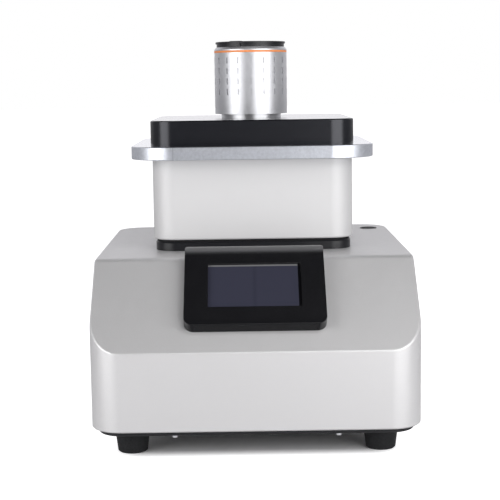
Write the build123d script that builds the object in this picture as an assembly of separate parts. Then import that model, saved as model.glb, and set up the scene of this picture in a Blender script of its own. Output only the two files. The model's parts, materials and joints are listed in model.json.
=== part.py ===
from build123d import *
import os
from math import hypot, radians, sin, sqrt

os.makedirs("parts", exist_ok=True)

# Ultra centrifugal mill for a laboratory bench, in millimetres.
# The origin is the centre of the footprint on the bench, +Z is up and the display faces -Y.

# Clearances
# past is how far a cutting form runs beyond the face that it opens.
past = 1.0
press_gap = 0.05
running_gap = 0.08
free_gap = 0.3

# Base housing, a rounded box with a sloped front
base_width = 386.0
base_depth = 456.0
base_bottom_z = 33.0
base_top_z = 221.5
base_corner_radius = 38.0
base_wall = 3.5
base_edge_radius = 3.4
base_lower_edge = 1.5
return_flange = 18.0
slope_run = 104.0
slope_front_height = 92.5
slope_top_radius = 15.0

# Bottom tray and feet
tray_height = 6.0
tray_inset = 8.0
tray_floor = 2.5
tray_edge = 1.5
tray_screw_inset = 13.0
tray_screw_x = 95.0
foot_side_inset = 46.2
foot_end_inset = 48.3
foot_top_radius = 20.7
foot_bottom_radius = 17.4
foot_edge = 1.5

# Display on the slope
bezel_width = 166.0
bezel_height = 121.0
bezel_proud = 13.5
bezel_start = 29.9
bezel_roll_radius = 6.5
bezel_low_corner = 11.5
bezel_top_corner = 7.0
bezel_lip_radius = 1.5
bezel_wall = 3.0
bezel_wrap = 12.0
bezel_rib = 2.0
window_width = 110.0
window_height = 64.5
window_start = 26.2
window_recess = 2.8
window_corner = 1.0
rib_corner = 1.0
glass_margin = 6.0
glass_thickness = 1.8
glass_corner = 1.0
lcd_inset = 2.0
cable_slot_width = 90.0
cable_slot_height = 20.0
cable_slot_corner = 4.0
board_width = 140.0
board_height = 84.0
board_thickness = 1.6
board_corner = 2.0
board_stand = 9.0
board_post_radius = 3.5
board_post_inset = 6.0
connector_size = (24.0, 12.0, 9.0)
processor_size = (32.0, 32.0, 3.0)
relay_size = (18.0, 18.0, 11.0)
board_part_spacing = 46.0

# Rear recess, panel, mains inlet and fan
recess_side_inset = 48.0
recess_low_inset = 19.0
recess_high_inset = 31.5
recess_depth = 7.0
recess_lip = 10.0
recess_corner = 6.0
panel_thickness = 2.0
vent_count = 10
vent_pitch = 9.0
vent_width = 3.5
vent_height = 42.0
vent_inset = 75.0
vent_drop = 40.0
fan_inset = 63.0
fan_size = 80.0
fan_corner = 5.0
fan_depth = 25.0
fan_bore_radius = 38.0
fan_tip_gap = 1.0
fan_carrier = 3.0
fan_strut_width = 4.0
fan_post_radius = 5.0
fan_post_length = 16.0
fan_axle_radius = 2.0
fan_hub_radius = 18.5
fan_hub_wall = 2.0
fan_hub_edge = 1.5
fan_hub_gap = 1.0
fan_back_gap = 3.0
fan_blades = 7
fan_blade_thickness = 1.6
fan_blade_chord = 18.0
fan_blade_angle = 38.0
grille_bars = 9
grille_pitch = 8.0
grille_slot = 4.5
inlet_inset = 50.0
inlet_rise = 40.0
module_width = 27.0
module_height = 47.0
module_corner = 2.0
module_rim = 2.0
module_rim_thickness = 1.8
module_depth = 29.0
cavity_width = 24.0
cavity_height = 16.8
cavity_depth = 17.0
cavity_chamfer = 4.5
cavity_drop = 11.5
pin_pitch = 14.0
pin_offset = 2.0
pin_width = 2.0
pin_height = 4.0
pin_setback = 2.0
rocker_rise = 11.0
rocker_half_height = 9.8
rocker_end_gap = 1.0
rocker_width = 13.0
rocker_pivot_depth = 4.5
rocker_half_angle = 10.0
rocker_valley = 2.2
rocker_side_depth = 2.0
rocker_foot_half = 6.0
rocker_foot_depth = 6.0
rocker_well_depth = 8.0
rocker_axle_radius = 1.6
rocker_axle_inset = 2.0

# Push button in the top
button_side_inset = 27.5
button_back_inset = 55.1
button_bezel_radius = 11.9
button_bezel_height = 0.8
button_body_radius = 11.2
button_radius = 10.3
button_travel = 2.0
button_length = 12.0
button_body_depth = 24.0
button_sink = 0.2
button_edge = 0.5
button_nut_radius = 14.5
button_nut_height = 4.0
button_thread = 0.5

# Mill axis and the chamber above the base
mill_back_inset = 162.7
casing_half = 126.2
casing_radius = 29.5
casing_height = 101.0
casing_wall = 5.0
casing_flange = 4.5
casing_edge_radius = 2.4
casing_post = 24.0
plinth_inset = 2.7
plinth_height = 11.0
plinth_edge = 1.2
gasket_inset = 4.6
gasket_height = 3.0
opening_inset = 28.2
opening_corner = 15.0
deck_thickness = 6.0
deck_ledge = 4.0
deck_ledge_height = 5.5
chamber_inset = 18.2
chamber_wall = 2.0
chamber_floor = 3.0
chamber_floor_rise = 7.5
boss_wall = 4.5
boss_height = 34.0
boss_cap = 3.0
boss_hole_radius = 12.0

# Collecting cassette, ring sieve and mill rotor
cassette_gap = 4.0
cassette_wall = 2.0
cassette_height = 78.0
cassette_inner_radius = 33.0
shelf_rise = 38.0
shelf_radius = 56.0
shelf_lip = 3.0
cassette_lid_thickness = 2.5
cassette_lid_hole = 40.0
cassette_lid_skirt = 6.0
cassette_skirt_wall = 1.5
sieve_inner_radius = 51.5
sieve_wall = 1.5
sieve_rows = 3
sieve_slots = 24
sieve_slot_width = 5.0
sieve_slot_height = 9.0
sieve_slot_pitch = 12.0
rotor_radius = 49.5
rotor_disc_rise = 4.0
rotor_rim_thickness = 3.5
rotor_dish = 1.0
rotor_tooth_height = 32.0
rotor_teeth = 12
tooth_width = 9.0
tooth_depth = 12.0
tooth_nose = 1.6
rotor_hub_radius = 16.0
rotor_hub_height = 22.0
rotor_hub_taper = 2.0
rotor_cone_radius = 26.0
cap_nut_radius = 12.0
cap_nut_height = 12.0
cap_nut_band = 4.8
cap_nut_flat = 6.5

# Motor, shaft and bearings
mount_inset = 31.2
mount_corner = 10.0
mount_plate_thickness = 12.0
mount_plate_bore = 30.0
top_opening_radius = 60.0
motor_radius = 64.0
motor_wall = 6.0
motor_length = 100.0
shield_thickness = 10.0
shield_hub_radius = 28.0
shield_hub_drop = 6.0
shield_lip = 2.0
shield_lip_radius = 17.0
bearing_radius = 21.0
bearing_width = 12.0
bearing_race = 3.0
bearing_seal = 1.0
shaft_radius = 10.0
shaft_tail = 4.0
spindle_radius = 8.0
spindle_stud_radius = 5.0
spindle_stud_length = 8.0
spindle_stud_gap = 0.5
stator_bore = 34.0
stator_stack = 60.0
winding_overhang = 10.0
winding_inset = 4.0
core_gap = 1.0
core_length = 64.0
sleeve_flange_radius = 46.0
sleeve_flange_height = 6.0
sleeve_radius = 24.0
sleeve_bore = 16.0
sleeve_top_gap = 1.0
seal_height = 8.0

# Motor drive on the bottom tray
drive_x = -40.0
drive_front_inset = 128.0
drive_length = 150.0
drive_width = 90.0
drive_body = 36.0
drive_fin_height = 16.0
drive_fin_thickness = 2.0
drive_fins = 9
drive_post_radius = 5.0
drive_post_height = 7.0
drive_post_inset = 12.0

# Lid
lid_gap = 0.3
lid_overhang = 26.2
lid_plate_radius = 56.0
lid_plate_thickness = 16.2
lid_plate_edge = 0.8
cover_overhang = 1.7
lid_cover_radius = 31.0
lid_cover_height = 31.6
lid_cover_wall = 4.0
lid_cover_edge = 1.2
liner_gap = 3.5
seal_ring_offset = 7.0
seal_ring_width = 5.2
seal_groove_depth = 3.0
seal_squeeze = 0.2

# Lid hinge and lock
hinge_back = 12.5
hinge_drop = 11.5
hinge_x = 80.0
knuckle_radius = 7.0
hinge_pin_radius = 3.0
arm_width = 26.0
arm_rib = 8.0
bracket_knuckle = 12.0
bracket_pad_thickness = 4.0
bracket_pad_height = 22.0
arm_pad_thickness = 4.0
arm_pad_depth = 22.0
hinge_side_gap = 0.4
lock_wall_gap = 12.9
lock_start_share = 0.404
lock_body_length = 28.0
lock_body_width = 16.0
lock_body_height = 17.0
lock_bore_start = 4.0
bolt_radius = 3.5
bolt_length = 22.0
bolt_lead = 1.5
bolt_edge = 0.8
striker_gap = 4.0
striker_thickness = 5.0
striker_width = 16.0
striker_length = 24.5
striker_slot_gap = 2.5
striker_window_gap = 1.0

# Feed neck, hopper and cap
neck_radius = 39.5
neck_height = 4.9
neck_spigot_radius = 36.0
neck_spigot_wall = 3.0
feed_bore = 17.5
feed_tube_wall = 2.5
hopper_radius = 47.8
hopper_height = 87.1
hopper_wall = 3.6
hopper_floor = 3.0
hopper_bevel = 2.7
hopper_bevel_height = 3.0
ring_drop = 4.6
ring_height = 2.6
ring_depth = 1.0
ring_proud = 0.15
grip_rows = 18
grip_slots = 4
grip_length = 8.0
grip_width = 2.0
grip_pitch = 13.5
grip_start = 17.6
grip_depth = 1.4
funnel_wall = 1.6
funnel_rim_height = 8.5
funnel_throat = 15.0
funnel_throat_wall = 2.0
funnel_throat_rise = 21.5
funnel_tube_drop = 12.5
cap_plug_depth = 7.5
cap_waist_radius = 44.6
cap_waist_height = 4.4
cap_rim_radius = 46.0
cap_rim_height = 2.5
cap_rim_edge = 0.5
cap_tab_angle = 27.0
cap_tab_top_width = 13.6
cap_tab_foot_width = 17.0
cap_tab_proud = 0.6
cap_tab_rise = 0.5
cap_tab_root = 8.0

# Tray screws
screw_radius = 2.0
screw_head_radius = 3.5
screw_head_height = 2.4

# Places worked out from the sizes above
base_half_width = base_width / 2
base_half_depth = base_depth / 2
slope_low_z = base_bottom_z + slope_front_height
slope_rise = base_top_z - slope_low_z
slope_length = hypot(slope_run, slope_rise)
tray_bottom_z = base_bottom_z - tray_height
tray_floor_z = tray_bottom_z + tray_floor
wall_top_z = base_top_z - base_wall
foot_x = base_half_width - foot_side_inset
foot_y = base_half_depth - foot_end_inset
drive_y = drive_front_inset - base_half_depth
button_x = base_half_width - button_side_inset
button_y = base_half_depth - button_back_inset
button_bezel_top_z = base_top_z + button_bezel_height
button_top_z = button_bezel_top_z - button_sink
mill_y = base_half_depth - mill_back_inset
plinth_half = casing_half - plinth_inset
plinth_radius = casing_radius - plinth_inset
plinth_top_z = base_top_z + plinth_height
gasket_half = casing_half - gasket_inset
gasket_radius = casing_radius - gasket_inset
opening_half = casing_half - opening_inset
casing_bottom_z = plinth_top_z + gasket_height
casing_top_z = casing_bottom_z + casing_height
casing_inner_half = casing_half - casing_wall
casing_inner_radius = casing_radius - casing_wall
deck_bottom_z = casing_top_z - deck_thickness
chamber_radius = casing_half - chamber_inset
chamber_floor_z = casing_bottom_z + chamber_floor_rise
chamber_floor_top_z = chamber_floor_z + chamber_floor
boss_top_z = chamber_floor_top_z + boss_height
boss_bore = sleeve_radius + free_gap
mount_half = casing_half - mount_inset
mount_top_z = wall_top_z
mount_bottom_z = mount_top_z - mount_plate_thickness
motor_top_z = mount_bottom_z - shield_thickness
motor_bottom_z = motor_top_z - motor_length
motor_middle_z = (motor_top_z + motor_bottom_z) / 2
upper_bearing_top_z = mount_bottom_z - shield_lip
lower_bearing_low_z = motor_bottom_z - shield_thickness + shield_lip
inner_race_radius = shaft_radius + bearing_race
sleeve_top_z = boss_top_z - boss_cap - sleeve_top_gap
cassette_radius = chamber_radius - cassette_gap
cassette_top_z = chamber_floor_top_z + cassette_height
shelf_top_z = chamber_floor_top_z + shelf_rise
sieve_outer_radius = sieve_inner_radius + sieve_wall
rotor_disc_z = shelf_top_z + rotor_disc_rise
rotor_tooth_top_z = rotor_disc_z + rotor_tooth_height
rotor_hub_top_z = shelf_top_z + rotor_hub_height
cassette_lid_top_z = cassette_top_z + cassette_lid_thickness
liner_bottom_z = cassette_lid_top_z + free_gap
liner_radius = chamber_radius - liner_gap
seal_ring_radius = chamber_radius + seal_ring_offset
lid_plate_half = casing_half + lid_overhang
lid_bottom_z = casing_top_z + lid_gap
lid_plate_top_z = lid_bottom_z + lid_plate_thickness
lid_cover_half = casing_half + cover_overhang
lid_top_z = lid_plate_top_z + lid_cover_height
casing_back_y = mill_y + casing_half
hinge_y = casing_back_y + hinge_back
hinge_z = casing_top_z - hinge_drop
lock_y = mill_y - casing_inner_half + lock_wall_gap
lock_z = deck_bottom_z - lock_body_height / 2
lock_start_x = lock_start_share * casing_inner_half
lock_end_x = lock_start_x + lock_body_length
striker_x = lock_end_x + striker_gap
striker_end_x = striker_x + striker_thickness
neck_top_z = lid_top_z + neck_height
hopper_top_z = neck_top_z + hopper_height
funnel_radius = hopper_radius - hopper_wall - press_gap
funnel_mouth = funnel_radius - funnel_wall
funnel_throat_z = neck_top_z + funnel_throat_rise
funnel_tube_end_z = neck_top_z - funnel_tube_drop
recess_half_width = base_half_width - recess_side_inset
recess_low_z = base_bottom_z + recess_low_inset
recess_high_z = base_top_z - recess_high_inset
recess_height = recess_high_z - recess_low_z
recess_middle_z = (recess_low_z + recess_high_z) / 2
recess_floor_y = base_half_depth - recess_depth
panel_face_y = recess_floor_y + panel_thickness
fan_x = recess_half_width - fan_inset
fan_z = recess_middle_z
fan_front_y = recess_floor_y - fan_depth
vent_x = vent_inset - recess_half_width
vent_z = recess_high_z - vent_drop
inlet_x = inlet_inset - recess_half_width
inlet_z = recess_low_z + inlet_rise
cavity_z = inlet_z - cavity_drop
rocker_z = inlet_z + rocker_rise
module_face_y = panel_face_y + module_rim_thickness
rocker_pivot_y = module_face_y - rocker_pivot_depth
window_middle = bezel_start + window_start + window_height / 2
glass_width = window_width + 2 * glass_margin
glass_height = window_height + 2 * glass_margin
glass_top = bezel_proud - window_recess
glass_back = glass_top - glass_thickness
board_top = -base_wall - board_stand

slope_plane = Plane(
    origin=(0, -base_half_depth, slope_low_z),
    x_dir=(1, 0, 0),
    z_dir=(0, -slope_rise, slope_run),
)
upright = (Align.CENTER, Align.CENTER, Align.MIN)


def save(name, *shapes):
    """Write one node, a single solid or a group of like solids."""
    solids = [solid for shape in shapes for solid in shape.solids()]
    whole = solids[0] if len(solids) == 1 else Compound(solids)
    export_step(whole, f"parts/{name}.step")


def post(radius, low, high, x=0.0, y=mill_y):
    """Upright cylinder from one height to another."""
    return Pos(x, y, low) * Cylinder(radius, high - low, align=upright)


def block(low_corner, high_corner):
    """Square-edged block between two opposite corners."""
    sizes = [high - low for low, high in zip(low_corner, high_corner)]
    return Pos(*low_corner) * Box(*sizes, align=(Align.MIN, Align.MIN, Align.MIN))


def rounded_block(width, depth, radius, low, high, y=0.0):
    """Upright block with rounded corners."""
    return extrude(Pos(0, y, low) * RectangleRounded(width, depth, radius), high - low)


def mill_square(half, radius, low, high):
    """Square block with rounded corners round the mill axis."""
    return rounded_block(2 * half, 2 * half, radius, low, high, mill_y)


def turned(corners, x=0.0, y=mill_y):
    """Solid turned about an upright axis from corners given as radius and height."""
    profile = make_face(Polyline(*[(radius, 0, height) for radius, height in corners], close=True))
    return Pos(x, y, 0) * revolve(profile, Axis.Z)


def ring(inner, outer, low, high, x=0.0, y=mill_y):
    """Plain turned ring."""
    return turned([(inner, low), (outer, low), (outer, high), (inner, high)], x, y)


def around(count, shape, first_angle=0.0):
    """Copies of a shape evenly round the mill axis."""
    angles = [first_angle + index * 360 / count for index in range(count)]
    return [Pos(0, mill_y, 0) * Rot(0, 0, angle) * shape for angle in angles]


def slope_block(width, height, radius, middle, low, high):
    """Block with rounded corners that stands square on the sloped front."""
    outline = slope_plane * Pos(0, middle, low) * RectangleRounded(width, height, radius)
    return extrude(outline, high - low)


def rear_sketch(sketch, x, z, y, depth):
    """Sketch placed on the rear as seen from behind, and pushed towards the front."""
    plane = Plane(origin=(x, y, z), x_dir=(-1, 0, 0), z_dir=(0, 1, 0))
    return extrude(plane * sketch, -depth)


def rear_post(radius, x, z, y_low, y_high):
    """Cylinder that lies along Y."""
    return rear_sketch(Circle(radius), x, z, y_high, y_high - y_low)


def side_post(radius, x_low, x_high, y, z):
    """Cylinder that lies along X."""
    return extrude(Plane(origin=(x_low, y, z), z_dir=(1, 0, 0)) * Circle(radius), x_high - x_low)


def base_form(inset):
    """Form of the housing, or the same form drawn in by its wall."""
    half = base_half_depth
    bend_y = -half + slope_run
    side = make_face(Polyline(
        (-half, base_bottom_z), (-half, slope_low_z), (bend_y, base_top_z), (half, base_top_z),
        (half, base_bottom_z), close=True,
    ))
    bend = side.vertices().sort_by_distance((bend_y, base_top_z, 0))[0]
    side = fillet(bend, slope_top_radius)
    if inset:
        side = offset(side, -inset, kind=Kind.INTERSECTION)
    across = extrude(Plane.YZ * side, base_half_width - inset, both=True)
    outline = (base_width - 2 * inset, base_depth - 2 * inset, base_corner_radius - inset)
    return across & rounded_block(*outline, base_bottom_z, base_top_z)


def base_outside():
    """Outer form of the housing with its upper edges rounded and its lower edge broken."""
    form = base_form(0)
    uprights = form.edges().filter_by(Axis.Z)
    low_edges = form.edges().group_by(Axis.Z)[0]
    bend_lines = [
        edge for edge in form.edges().filter_by(Axis.X)
        if abs(edge.center().Y) < base_half_depth - past
    ]
    kept = list(uprights) + list(low_edges) + bend_lines
    rim = [edge for edge in form.edges() if not any(edge.is_same(other) for other in kept)]
    form = fillet(rim, base_edge_radius)
    return chamfer(form.edges().group_by(Axis.Z)[0], base_lower_edge)


def flange_opening():
    """Width, depth and corner radius of the opening inside the housing's return flange."""
    return base_width - 2 * return_flange, base_depth - 2 * return_flange, base_corner_radius - return_flange


def foot_places():
    return [(side * foot_x, end * foot_y) for end in (-1, 1) for side in (-1, 1)]


def tray_screw_places():
    """Screws at the front and rear that hold the tray to the housing's return flange."""
    end = base_half_depth - tray_screw_inset
    return [(x, y) for x in (-tray_screw_x, tray_screw_x) for y in (-end, end)]


def drive_post_places():
    across = drive_length / 2 - drive_post_inset
    along = drive_width / 2 - drive_post_inset
    return [(drive_x + x, drive_y + y) for x in (-across, across) for y in (-along, along)]


def board_post_places():
    """Posts behind the slope that carry the control board, across and up the slope."""
    across = board_width / 2 - board_post_inset
    along = board_height / 2 - board_post_inset
    return [(x, window_middle + up) for x in (-across, across) for up in (-along, along)]


def recess_outline(grown):
    """Outline of the rear recess, grown or shrunk all round."""
    return RectangleRounded(2 * (recess_half_width + grown), recess_height + 2 * grown, recess_corner + grown)


def make_base_housing(outside):
    floor_z = base_bottom_z + base_wall
    wide = (base_width, base_depth)
    inside = base_form(base_wall) & block((-wide[0], -wide[1], floor_z), (*wide, base_top_z))
    housing = outside - inside
    housing -= rounded_block(*flange_opening(), base_bottom_z - past, floor_z + past)
    housing -= post(top_opening_radius, wall_top_z - past, base_top_z + past)
    cable_slot = (cable_slot_width, cable_slot_height, cable_slot_corner)
    housing -= slope_block(*cable_slot, window_middle, -base_wall - past, past)
    button_hole = button_body_radius + press_gap
    housing -= post(button_hole, wall_top_z - past, base_top_z + past, button_x, button_y)
    rear = base_half_depth
    hole_half_width = recess_half_width - recess_lip
    hole = RectangleRounded(2 * hole_half_width, recess_height - 2 * recess_lip, recess_corner)
    housing += rear_sketch(recess_outline(base_wall), 0, recess_middle_z, rear, recess_depth + base_wall)
    housing -= rear_sketch(recess_outline(0), 0, recess_middle_z, rear + past, recess_depth + past)
    housing -= rear_sketch(hole, 0, recess_middle_z, rear + past, recess_depth + base_wall + 2 * past)
    for across, along in board_post_places():
        housing += slope_plane * Pos(across, along, board_top) * Cylinder(
            board_post_radius, board_stand + past, align=upright
        )
    for x, y in tray_screw_places():
        housing -= post(screw_radius + press_gap, base_bottom_z - past, floor_z + past, x, y)
    return housing


def make_base_plate():
    width = base_width - 2 * tray_inset
    depth = base_depth - 2 * tray_inset
    tray = rounded_block(width, depth, base_corner_radius - tray_inset, tray_bottom_z, base_bottom_z)
    tray = chamfer(tray.edges().group_by(Axis.Z)[0], tray_edge)
    tray -= rounded_block(*flange_opening(), tray_floor_z, base_bottom_z + past)
    for x, y in drive_post_places():
        tray += post(drive_post_radius, tray_floor_z, tray_floor_z + drive_post_height, x, y)
    for x, y in tray_screw_places():
        tray -= post(screw_radius + press_gap, tray_bottom_z - past, base_bottom_z + past, x, y)
    return tray


def make_tray_screw(x, y):
    """Pan-head screw driven up through the tray."""
    head = post(screw_head_radius, tray_bottom_z - screw_head_height, tray_bottom_z, x, y)
    return head + post(screw_radius, tray_bottom_z, base_bottom_z + base_wall, x, y)


def make_foot(x, y):
    foot = Pos(x, y, 0) * Cone(foot_bottom_radius, foot_top_radius, tray_bottom_z, align=upright)
    return chamfer(foot.edges().group_by(Axis.Z)[0], foot_edge)


def make_motor_drive():
    low = tray_floor_z + drive_post_height
    top = low + drive_body
    drive = Pos(drive_x, drive_y, low) * Box(drive_length, drive_width, drive_body, align=upright)
    fin = Box(drive_length, drive_fin_thickness, drive_fin_height, align=upright)
    pitch = (drive_width - drive_fin_thickness) / (drive_fins - 1)
    for index in range(drive_fins):
        y = drive_y + (index - (drive_fins - 1) / 2) * pitch
        drive += Pos(drive_x, y, top) * fin
    return drive


def make_display_bezel(outside):
    """Shell that wraps the slope, with a rolled top edge and a rib that holds the glass."""
    side_plane = Plane(origin=slope_plane.origin, x_dir=slope_plane.y_dir, z_dir=(1, 0, 0))
    start = bezel_start
    end = bezel_start + bezel_height
    side = make_face(Polyline(
        (start, -bezel_wrap), (start, bezel_proud), (end, bezel_proud), (end, -bezel_wrap), close=True,
    ))
    side = fillet(side.vertices().sort_by_distance((end, bezel_proud, 0))[0], bezel_roll_radius)
    side = fillet(side.vertices().sort_by_distance((start, bezel_proud, 0))[0], bezel_lip_radius)
    bezel = extrude(side_plane * side, bezel_width / 2, both=True)
    front = Rectangle(bezel_width, bezel_height)
    front = fillet(front.vertices().group_by(Axis.Y)[0], bezel_low_corner)
    front = fillet(front.vertices().group_by(Axis.Y)[-1], bezel_top_corner)
    front_place = slope_plane * Pos(0, start + bezel_height / 2, -2 * bezel_wrap)
    bezel &= extrude(front_place * front, 4 * bezel_wrap)
    bezel -= outside
    hollow_low = start + bezel_wall
    hollow_high = slope_length - slope_top_radius
    hollow = (bezel_width - 2 * bezel_wall, hollow_high - hollow_low, bezel_low_corner - bezel_wall)
    bezel -= slope_block(*hollow, (hollow_low + hollow_high) / 2, -past, glass_top)
    pocket_width = glass_width + 2 * press_gap
    pocket_height = glass_height + 2 * press_gap
    rib = 2 * bezel_rib
    rib_outline = (pocket_width + rib, pocket_height + rib, rib_corner + bezel_rib)
    bezel += slope_block(*rib_outline, window_middle, 0, glass_top)
    bezel -= slope_block(pocket_width, pocket_height, rib_corner, window_middle, -past, glass_top)
    window = (window_width, window_height, window_corner)
    return bezel - slope_block(*window, window_middle, 0, bezel_proud + past)


def make_display_glass():
    return slope_block(glass_width, glass_height, glass_corner, window_middle, glass_back, glass_top)


def make_lcd_module():
    width = glass_width - 2 * lcd_inset
    height = glass_height - 2 * lcd_inset
    return slope_block(width, height, glass_corner, window_middle, 0, glass_back)


def make_control_board():
    """Circuit board with its connector, processor and relay in a row."""
    back = board_top - board_thickness
    board = slope_block(board_width, board_height, board_corner, window_middle, back, board_top)
    hung = (Align.CENTER, Align.CENTER, Align.MAX)
    for index, size in enumerate((connector_size, processor_size, relay_size)):
        across = (index - 1) * board_part_spacing
        board += slope_plane * Pos(across, window_middle, back) * Box(*size, align=hung)
    return board


def make_rear_panel():
    """Panel with upright vents at the left, a barred fan grille and the inlet's opening."""
    panel = rear_sketch(recess_outline(-free_gap), 0, recess_middle_z, panel_face_y, panel_thickness)
    cut_y = panel_face_y + past
    through = panel_thickness + 2 * past
    for index in range(vent_count):
        x = vent_x + (index - (vent_count - 1) / 2) * vent_pitch
        panel -= rear_sketch(Rectangle(vent_width, vent_height), x, vent_z, cut_y, through)
    for index in range(grille_bars):
        rise = (index - (grille_bars - 1) / 2) * grille_pitch
        reach = sqrt(fan_bore_radius ** 2 - rise ** 2)
        panel -= rear_sketch(Rectangle(2 * reach, grille_slot), fan_x, fan_z + rise, cut_y, through)
    opening = RectangleRounded(module_width + 2 * press_gap, module_height + 2 * press_gap, module_corner)
    return panel - rear_sketch(opening, inlet_x, inlet_z, cut_y, through)


def make_power_entry_module():
    """Appliance inlet with three pins below the well of the mains rocker."""
    rim_corner = module_corner + press_gap
    rim = RectangleRounded(module_width + 2 * module_rim, module_height + 2 * module_rim, rim_corner)
    body = RectangleRounded(module_width, module_height, module_corner)
    module = rear_sketch(rim, inlet_x, inlet_z, module_face_y, module_rim_thickness)
    module += rear_sketch(body, inlet_x, inlet_z, panel_face_y, module_depth)
    cavity = Rectangle(cavity_width, cavity_height)
    cavity = chamfer(cavity.vertices().group_by(Axis.Y)[-1], cavity_chamfer)
    module -= rear_sketch(cavity, inlet_x, cavity_z, module_face_y + past, cavity_depth + past)
    half_pitch = pin_pitch / 2
    pin = Rectangle(pin_width, pin_height)
    for across, rise in ((-half_pitch, -pin_offset), (half_pitch, -pin_offset), (0, pin_offset)):
        pin_place = (inlet_x + across, cavity_z + rise, module_face_y - pin_setback)
        module += rear_sketch(pin, *pin_place, cavity_depth - past)
    well = Rectangle(rocker_width + 2 * free_gap, 2 * (rocker_half_height + rocker_end_gap))
    well_depth = rocker_pivot_depth + rocker_well_depth
    module -= rear_sketch(well, inlet_x, rocker_z, module_face_y + past, well_depth + past)
    reach = module_width / 2 - rocker_axle_inset
    return module + side_post(rocker_axle_radius, inlet_x - reach, inlet_x + reach, rocker_pivot_y, rocker_z)


def make_mains_rocker():
    """Rocker with a shallow valley, at rest with its upper half pressed."""
    half = rocker_half_height
    peak = rocker_valley + half * sin(radians(rocker_half_angle))
    foot = rocker_foot_half
    profile = make_face(Polyline(
        (0, rocker_valley), (half, peak), (half, -rocker_side_depth), (foot, -rocker_foot_depth),
        (-foot, -rocker_foot_depth), (-half, -rocker_side_depth), (-half, peak), close=True,
    ))
    profile -= Circle(rocker_axle_radius + running_gap)
    plane = Plane(origin=(inlet_x, rocker_pivot_y, rocker_z), x_dir=(0, 0, 1), z_dir=(-1, 0, 0))
    return extrude(plane * (Rot(0, 0, -rocker_half_angle) * profile), rocker_width / 2, both=True)


def make_fan_frame():
    """Square frame with crossed struts that carry the motor and its axle post."""
    outline = RectangleRounded(fan_size, fan_size, fan_corner) - Circle(fan_bore_radius)
    frame = rear_sketch(outline, fan_x, fan_z, recess_floor_y, fan_depth)
    carrier_y = fan_front_y + fan_carrier
    strut = Rectangle(2 * fan_bore_radius + fan_strut_width, fan_strut_width)
    for angle in (45, 135):
        frame += rear_sketch(Rot(0, 0, angle) * strut, fan_x, fan_z, carrier_y, fan_carrier)
    frame += rear_post(fan_hub_radius, fan_x, fan_z, fan_front_y, carrier_y)
    post_end = fan_front_y + fan_post_length
    frame += rear_post(fan_post_radius, fan_x, fan_z, fan_front_y, post_end)
    return frame - rear_post(fan_axle_radius + running_gap, fan_x, fan_z, fan_front_y - past, post_end + past)


def make_fan_impeller():
    """Hub with a hollow for the motor, an axle and slanted blades."""
    hub_low = fan_front_y + fan_carrier + fan_hub_gap
    hub_high = recess_floor_y - fan_back_gap
    hub = rear_post(fan_hub_radius, fan_x, fan_z, hub_low, hub_high)
    hub = chamfer(hub.edges().sort_by(Axis.Y)[-1], fan_hub_edge)
    hub -= rear_post(fan_hub_radius - fan_hub_wall, fan_x, fan_z, hub_low - past, hub_high - fan_hub_wall)
    hub += rear_post(fan_axle_radius, fan_x, fan_z, fan_front_y + fan_hub_gap, hub_high)
    tip_radius = fan_bore_radius - fan_tip_gap
    blade_root = fan_hub_radius - fan_hub_wall / 2
    blade_form = Box(
        tip_radius + past - blade_root, fan_blade_thickness, fan_blade_chord,
        align=(Align.MIN, Align.CENTER, Align.CENTER),
    )
    blade = Pos(blade_root, 0, 0) * Rot(fan_blade_angle, 0, 0) * blade_form
    middle = Pos(fan_x, (hub_low + hub_high) / 2, fan_z) * Rot(90, 0, 0)
    for index in range(fan_blades):
        hub += middle * Rot(0, 0, index * 360 / fan_blades) * blade
    return hub & rear_post(tip_radius, fan_x, fan_z, fan_front_y, recess_floor_y)


def make_button_bezel():
    """Ring of the push button with its body through the top and the nut below."""
    bezel = post(button_bezel_radius, base_top_z, button_bezel_top_z, button_x, button_y)
    bezel += post(button_body_radius, base_top_z - button_body_depth, base_top_z, button_x, button_y)
    bore_low = button_bezel_top_z - button_length - button_travel - past
    bezel -= post(button_radius + running_gap, bore_low, button_bezel_top_z + past, button_x, button_y)
    nut_inner = button_body_radius - button_thread
    nut_low = wall_top_z - button_nut_height
    return bezel + ring(nut_inner, button_nut_radius, nut_low, wall_top_z, button_x, button_y)


def make_power_button():
    button = post(button_radius, button_top_z - button_length, button_top_z, button_x, button_y)
    return chamfer(button.edges().sort_by(Axis.Z)[-1], button_edge)


def mill_opening(low, high):
    """Square opening under the chamber that the shaft housing passes through."""
    return mill_square(opening_half, opening_corner, low - past, high + past)


def make_plinth():
    plinth = mill_square(plinth_half, plinth_radius, base_top_z, plinth_top_z)
    plinth = chamfer(plinth.edges().group_by(Axis.Z)[-1], plinth_edge)
    return plinth - mill_opening(base_top_z, plinth_top_z)


def make_gasket():
    gasket = mill_square(gasket_half, gasket_radius, plinth_top_z, casing_bottom_z)
    return gasket - mill_opening(plinth_top_z, casing_bottom_z)


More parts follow.
